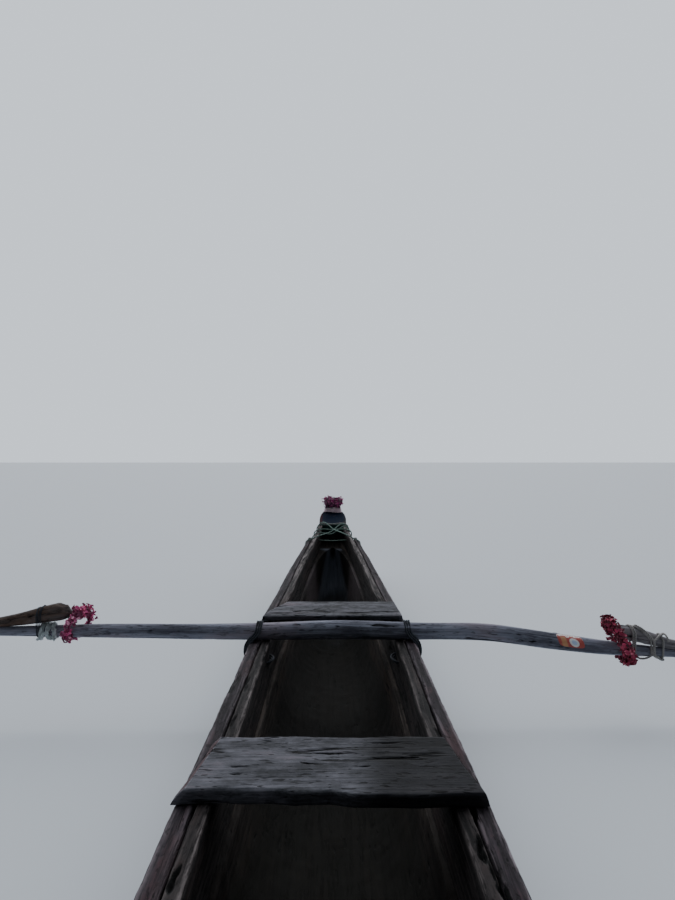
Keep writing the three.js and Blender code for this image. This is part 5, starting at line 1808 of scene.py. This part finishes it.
# %% Garland tree
def garland_tree():
    """Petals on every face of a mesh, and the mesh itself."""
    sizes = {"Petal size": 0.01, "Petals per square metre": 9000.0, "Spread": 0.9, "Reach": 0.01, "Seed": 1}
    graph, given = new_tree("garland", sizes)
    zeros, ones = (0.0, 0.0, 0.0), (1.0, 1.0, 1.0)

    def random_vector(low, high, seed):
        inputs = {"Min": low, "Max": high, "Seed": given["Seed"] * 7.0 + seed}
        return graph.node("FunctionNodeRandomValue", {"data_type": "FLOAT_VECTOR"}, inputs)

    place = graph.node("GeometryNodeInputPosition")
    clumps = graph.rise(graph.noise(place, 38.0, detail=1.0), 0.36, 0.56)
    density = given["Petals per square metre"] * (0.25 + clumps)
    strewn = {"Mesh": given["Geometry"], "Density": density, "Seed": given["Seed"]}
    points = graph.node("GeometryNodeDistributePointsOnFaces", {"distribute_method": "RANDOM"}, strewn)
    outward, turned = (Value(graph, points.socket.node.outputs[name]) for name in ("Normal", "Rotation"))

    ball = graph.node("GeometryNodeMeshUVSphere", None, {"Segments": 6, "Rings": 4, "Radius": 1.0})
    x, y, z = graph.parts(place)
    cup = x * x * 0.35 + y * y * 0.5
    cupped = graph.joined(x, y * (0.72 - x * 0.22), z * 0.07 + cup)
    petal = graph.node("GeometryNodeSetPosition", None, {"Geometry": ball, "Position": cupped})
    petal = stored(graph, petal, "rim", x * x + y * y)

    tilt = random_vector((-1.0, -1.0, -3.14), (1.0, 1.0, 3.14), 1)
    tilt = graph.vector("MULTIPLY", tilt, graph.joined(given["Spread"], given["Spread"], 1.0))
    tilt = graph.node("FunctionNodeEulerToRotation", None, {"Euler": tilt})
    turning = {"Rotation": turned, "Rotate By": tilt}
    rotation = graph.node("FunctionNodeRotateRotation", {"rotation_space": "LOCAL"}, turning)
    grow = graph.scaled(random_vector((0.5, 0.5, 0.5), ones, 2), given["Petal size"])
    hop = given["Reach"] * (0.15 + graph.parts(random_vector(zeros, ones, 4))[0]) * (0.3 + clumps)
    hopping = {"Geometry": points, "Offset": graph.scaled(outward, hop)}
    lifted = graph.node("GeometryNodeSetPosition", None, hopping)
    sitting = {"Points": lifted, "Instance": petal, "Rotation": rotation, "Scale": grow}
    petals = graph.node("GeometryNodeInstanceOnPoints", None, sitting)
    petals = stored(graph, petals, "tint", graph.parts(random_vector(zeros, ones, 3))[0], "INSTANCE")
    both = graph.node("GeometryNodeJoinGeometry")
    for part in (given["Geometry"], petals):
        graph.feed(both.socket.node.inputs["Geometry"], part)
    return close_tree(graph, both, given["Material"])


garland = garland_tree()
print("trees:", garland.name, "with", len(garland.nodes), "nodes")


# %% Petals
def petals(name, deep, bright, pale):
    """A finish for petals or leaves: each one's own tint, a paler rim and fine veins."""
    graph = Finish(name)
    tint = graph.fact("tint")
    place = graph.place()
    veins = graph.noise(place, 420.0, detail=2.0)
    clumps = graph.noise(place, 26.0, detail=2.0)
    colour = graph.colours(graph.rise(tint + (clumps - 0.5) * 1.4, 0.25, 0.8), deep, bright)
    paler = graph.rise(tint, 0.8, 0.95) * 0.7 + graph.fact("rim") * 0.12
    colour = graph.scaled(graph.colours(paler, colour, pale), 0.6 + veins * 0.7)
    glow = {"Subsurface Weight": 0.15, "Subsurface Radius": (0.006, 0.002, 0.002)}
    return graph.coat(colour, graph.clamped(0.5 + veins * 0.25), more=glow)


magenta = petals("magenta_petals", (0.2, 0.015, 0.08), (0.85, 0.14, 0.38), (1.0, 0.5, 0.65))
bow_petals = petals("bow_petals", (0.08, 0.006, 0.045), (0.5, 0.03, 0.23), (0.85, 0.35, 0.55))
red_petals = petals("red_petals", (0.12, 0.008, 0.025), (0.52, 0.04, 0.12), (0.8, 0.22, 0.3))
leaf_green = petals("leaf_green", (0.01, 0.045, 0.03), (0.03, 0.13, 0.09), (0.4, 0.55, 0.45))

GARLANDS = [
    # name, finish, centre, ring radius, half width, half height, tilt, bend of the far side, lumps,
    # petal radius, reach, petals for each square metre, seed, sizes in mm
    ("garland_bow", bow_petals, (0, 3748, 665), 60, 14, 27, None, 0, 0, 12, 17, 10000, 3),
    ("garland_port", magenta, (-1032, 520, 383), 56, 7, 7, 21, 0.72, 0.35, 11, 12, 29000, 5),
    ("garland_starboard", red_petals, (1142, 520, 313), 80, 9, 9, -28, 0.15, 0.5, 12, 12, 22000, 9),
    ("leaves_port", leaf_green, (-1040, 492, 402), 9, 4, 4, 20, 0, 0, 8, 6, 24000, 4),
]
RING_STEPS = (40, 12)


def flower_ring(centre, ring, half_width, half_height, tilt, bend, lumps):
    """A skin round a ring, in place. Without a tilt it lies flat, otherwise it stands across X."""
    u, v = (np.linspace(0, 2 * np.pi, steps, endpoint=False) for steps in RING_STEPS)
    u = u[:, None]
    swell = 1 + lumps * np.cos(2 * u)
    reach = ring + half_width * swell * np.cos(v)
    x, y, z = reach * np.cos(u), reach * np.sin(u), half_height * swell * np.sin(v)
    if tilt is not None:
        cos, sin = math.cos(np.pi / 2 + math.radians(tilt)), math.sin(np.pi / 2 + math.radians(tilt))
        x, z = x * cos + z * sin, z * cos - x * sin
    points = (stacked(x + bend * y.clip(0), y, z) + centre) * MM
    index = np.arange(points[..., 0].size).reshape(RING_STEPS)
    next_u, next_v = np.roll(index, -1, 0), np.roll(index, -1, 1)
    faces = np.stack([index, next_u, np.roll(next_u, -1, 1), next_v], -1).reshape(-1, 4)
    mesh = bpy.data.meshes.new("flower_ring")
    mesh.from_pydata(points.reshape(-1, 3).tolist(), [], faces.tolist())
    return mesh


for name, finish, *ring_sizes, size, reach, density, seed in GARLANDS:
    skin = flower_ring(*ring_sizes)
    piece = grown(garland, name + "_petals", skin, finish, Petal_size=size * MM, Reach=reach * MM,
                  Petals_per_square_metre=float(density), Seed=seed)
    settle(piece, [name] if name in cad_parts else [], crease=80.0)
print("garlands:", made("garland", "leaves"))

# %% [markdown]
# ## The patch on the boom
# A small sticker is left on the boom's upper aft face. It carries no text: a red field with a pale
# fringe and a light disc. Its points are dropped onto the finished boom, so it follows every
# wave of the wood and stands a fraction of a millimetre off it.

# %% Patch
PATCH = {
    "from": 0.897, "to": 1.0, "lowest": math.radians(92), "highest": math.radians(197),
    "lift": 0.0005, "thickness": 0.0004, "lean": 0.012, "columns": 40, "rows": 26,
}


def patch_mesh():
    """A thin sheet on the fore boom with round corners. Its grain runs from 0 to 1 both ways."""
    skin = booms["fore"].data
    tree = BVHTree.FromPolygons([v.co for v in skin.vertices], [p.vertices for p in skin.polygons])
    columns, rows = PATCH["columns"], PATCH["rows"]
    x = np.linspace(PATCH["from"], PATCH["to"], columns)
    centre = stacked(x, BOOMS["fore"][0] * MM, boom_line("fore")(x)[:, 0])
    corner = (1 - 0.97 * np.abs(np.linspace(-1, 1, columns)) ** 5) ** (1 / 5)
    upper = np.zeros((columns, rows, 3))
    for i in range(columns):
        for j in range(rows):
            share = 0.5 + (j / (rows - 1) - 0.5) * corner[i]
            turn = mix(PATCH["lowest"], PATCH["highest"], share)
            out = Vector((0.0, math.cos(turn), math.sin(turn)))
            origin = Vector(centre[i]) + Vector((PATCH["lean"] * (share - 0.5), 0.0, 0.0)) + out * 0.1
            hit, *_ = tree.ray_cast(origin, -out)
            upper[i, j] = hit + out * PATCH["lift"]
    lower = upper - unit(upper - centre[:, None]) * PATCH["thickness"]
    spots = stacked(np.linspace(0, 1, columns)[:, None], np.linspace(0, 1, rows), 0.0)
    return ring_mesh("patch_rings", both_faces(upper, lower), both_faces(spots, spots), 0.0)


def patch_material():
    """A red field, a yellow stripe, a pale fringe and a light disc with a blue heart, all scuffed."""
    graph = Finish("patch_finish")
    u, v, _ = graph.parts(graph.fact("grain", "Vector"))
    place = graph.place()
    scuffs = graph.noise(place, 160.0, detail=4.0, roughness=0.65)
    edge = graph.noise(place, 70.0, detail=3.0) - 0.5
    colour = graph.colours(graph.clamped(scuffs * 1.2), (0.3, 0.04, 0.035), (0.55, 0.11, 0.085))
    yellow = graph.rise(u + edge * 0.1, 0.1, 0.14) - graph.rise(u, 0.3, 0.36)
    colour = graph.colours(graph.clamped(yellow * graph.rise(v, 0.2, 0.3) * 0.75), colour, (0.55, 0.32, 0.14))
    fringe = 1.0 - graph.rise(v + edge * 0.5, 0.16, 0.24)
    colour = graph.colours(fringe * graph.rise(scuffs, 0.4, 0.5), colour, (0.75, 0.72, 0.68))
    from_disc = (((u - 0.62) * 1.75) ** 2.0 + (v - 0.62) ** 2.0).maths("SQRT")
    disc = 1.0 - graph.rise(from_disc + edge * 0.05, 0.31, 0.34)
    colour = graph.colours(disc, colour, (0.8, 0.8, 0.78))
    heart = 1.0 - graph.rise(from_disc + edge * 0.08, 0.16, 0.21)
    colour = graph.colours(heart * 0.8, colour, (0.42, 0.55, 0.78))
    colour = graph.colours(graph.rise(scuffs, 0.62, 0.7) * 0.7, colour, (0.4, 0.37, 0.36))
    return graph.coat(colour, graph.clamped(0.4 + scuffs * 0.4))


patch = linked("blank_patch", patch_mesh())
patch.data.materials.append(patch_material())
settle(patch, [])
print("patch:", made("blank_patch"))

# %% [markdown]
# ## The last step
# The script ends by printing how many triangles all the pieces have.

# %% Triangles
print("triangles:", sum(triangles_made.values()))
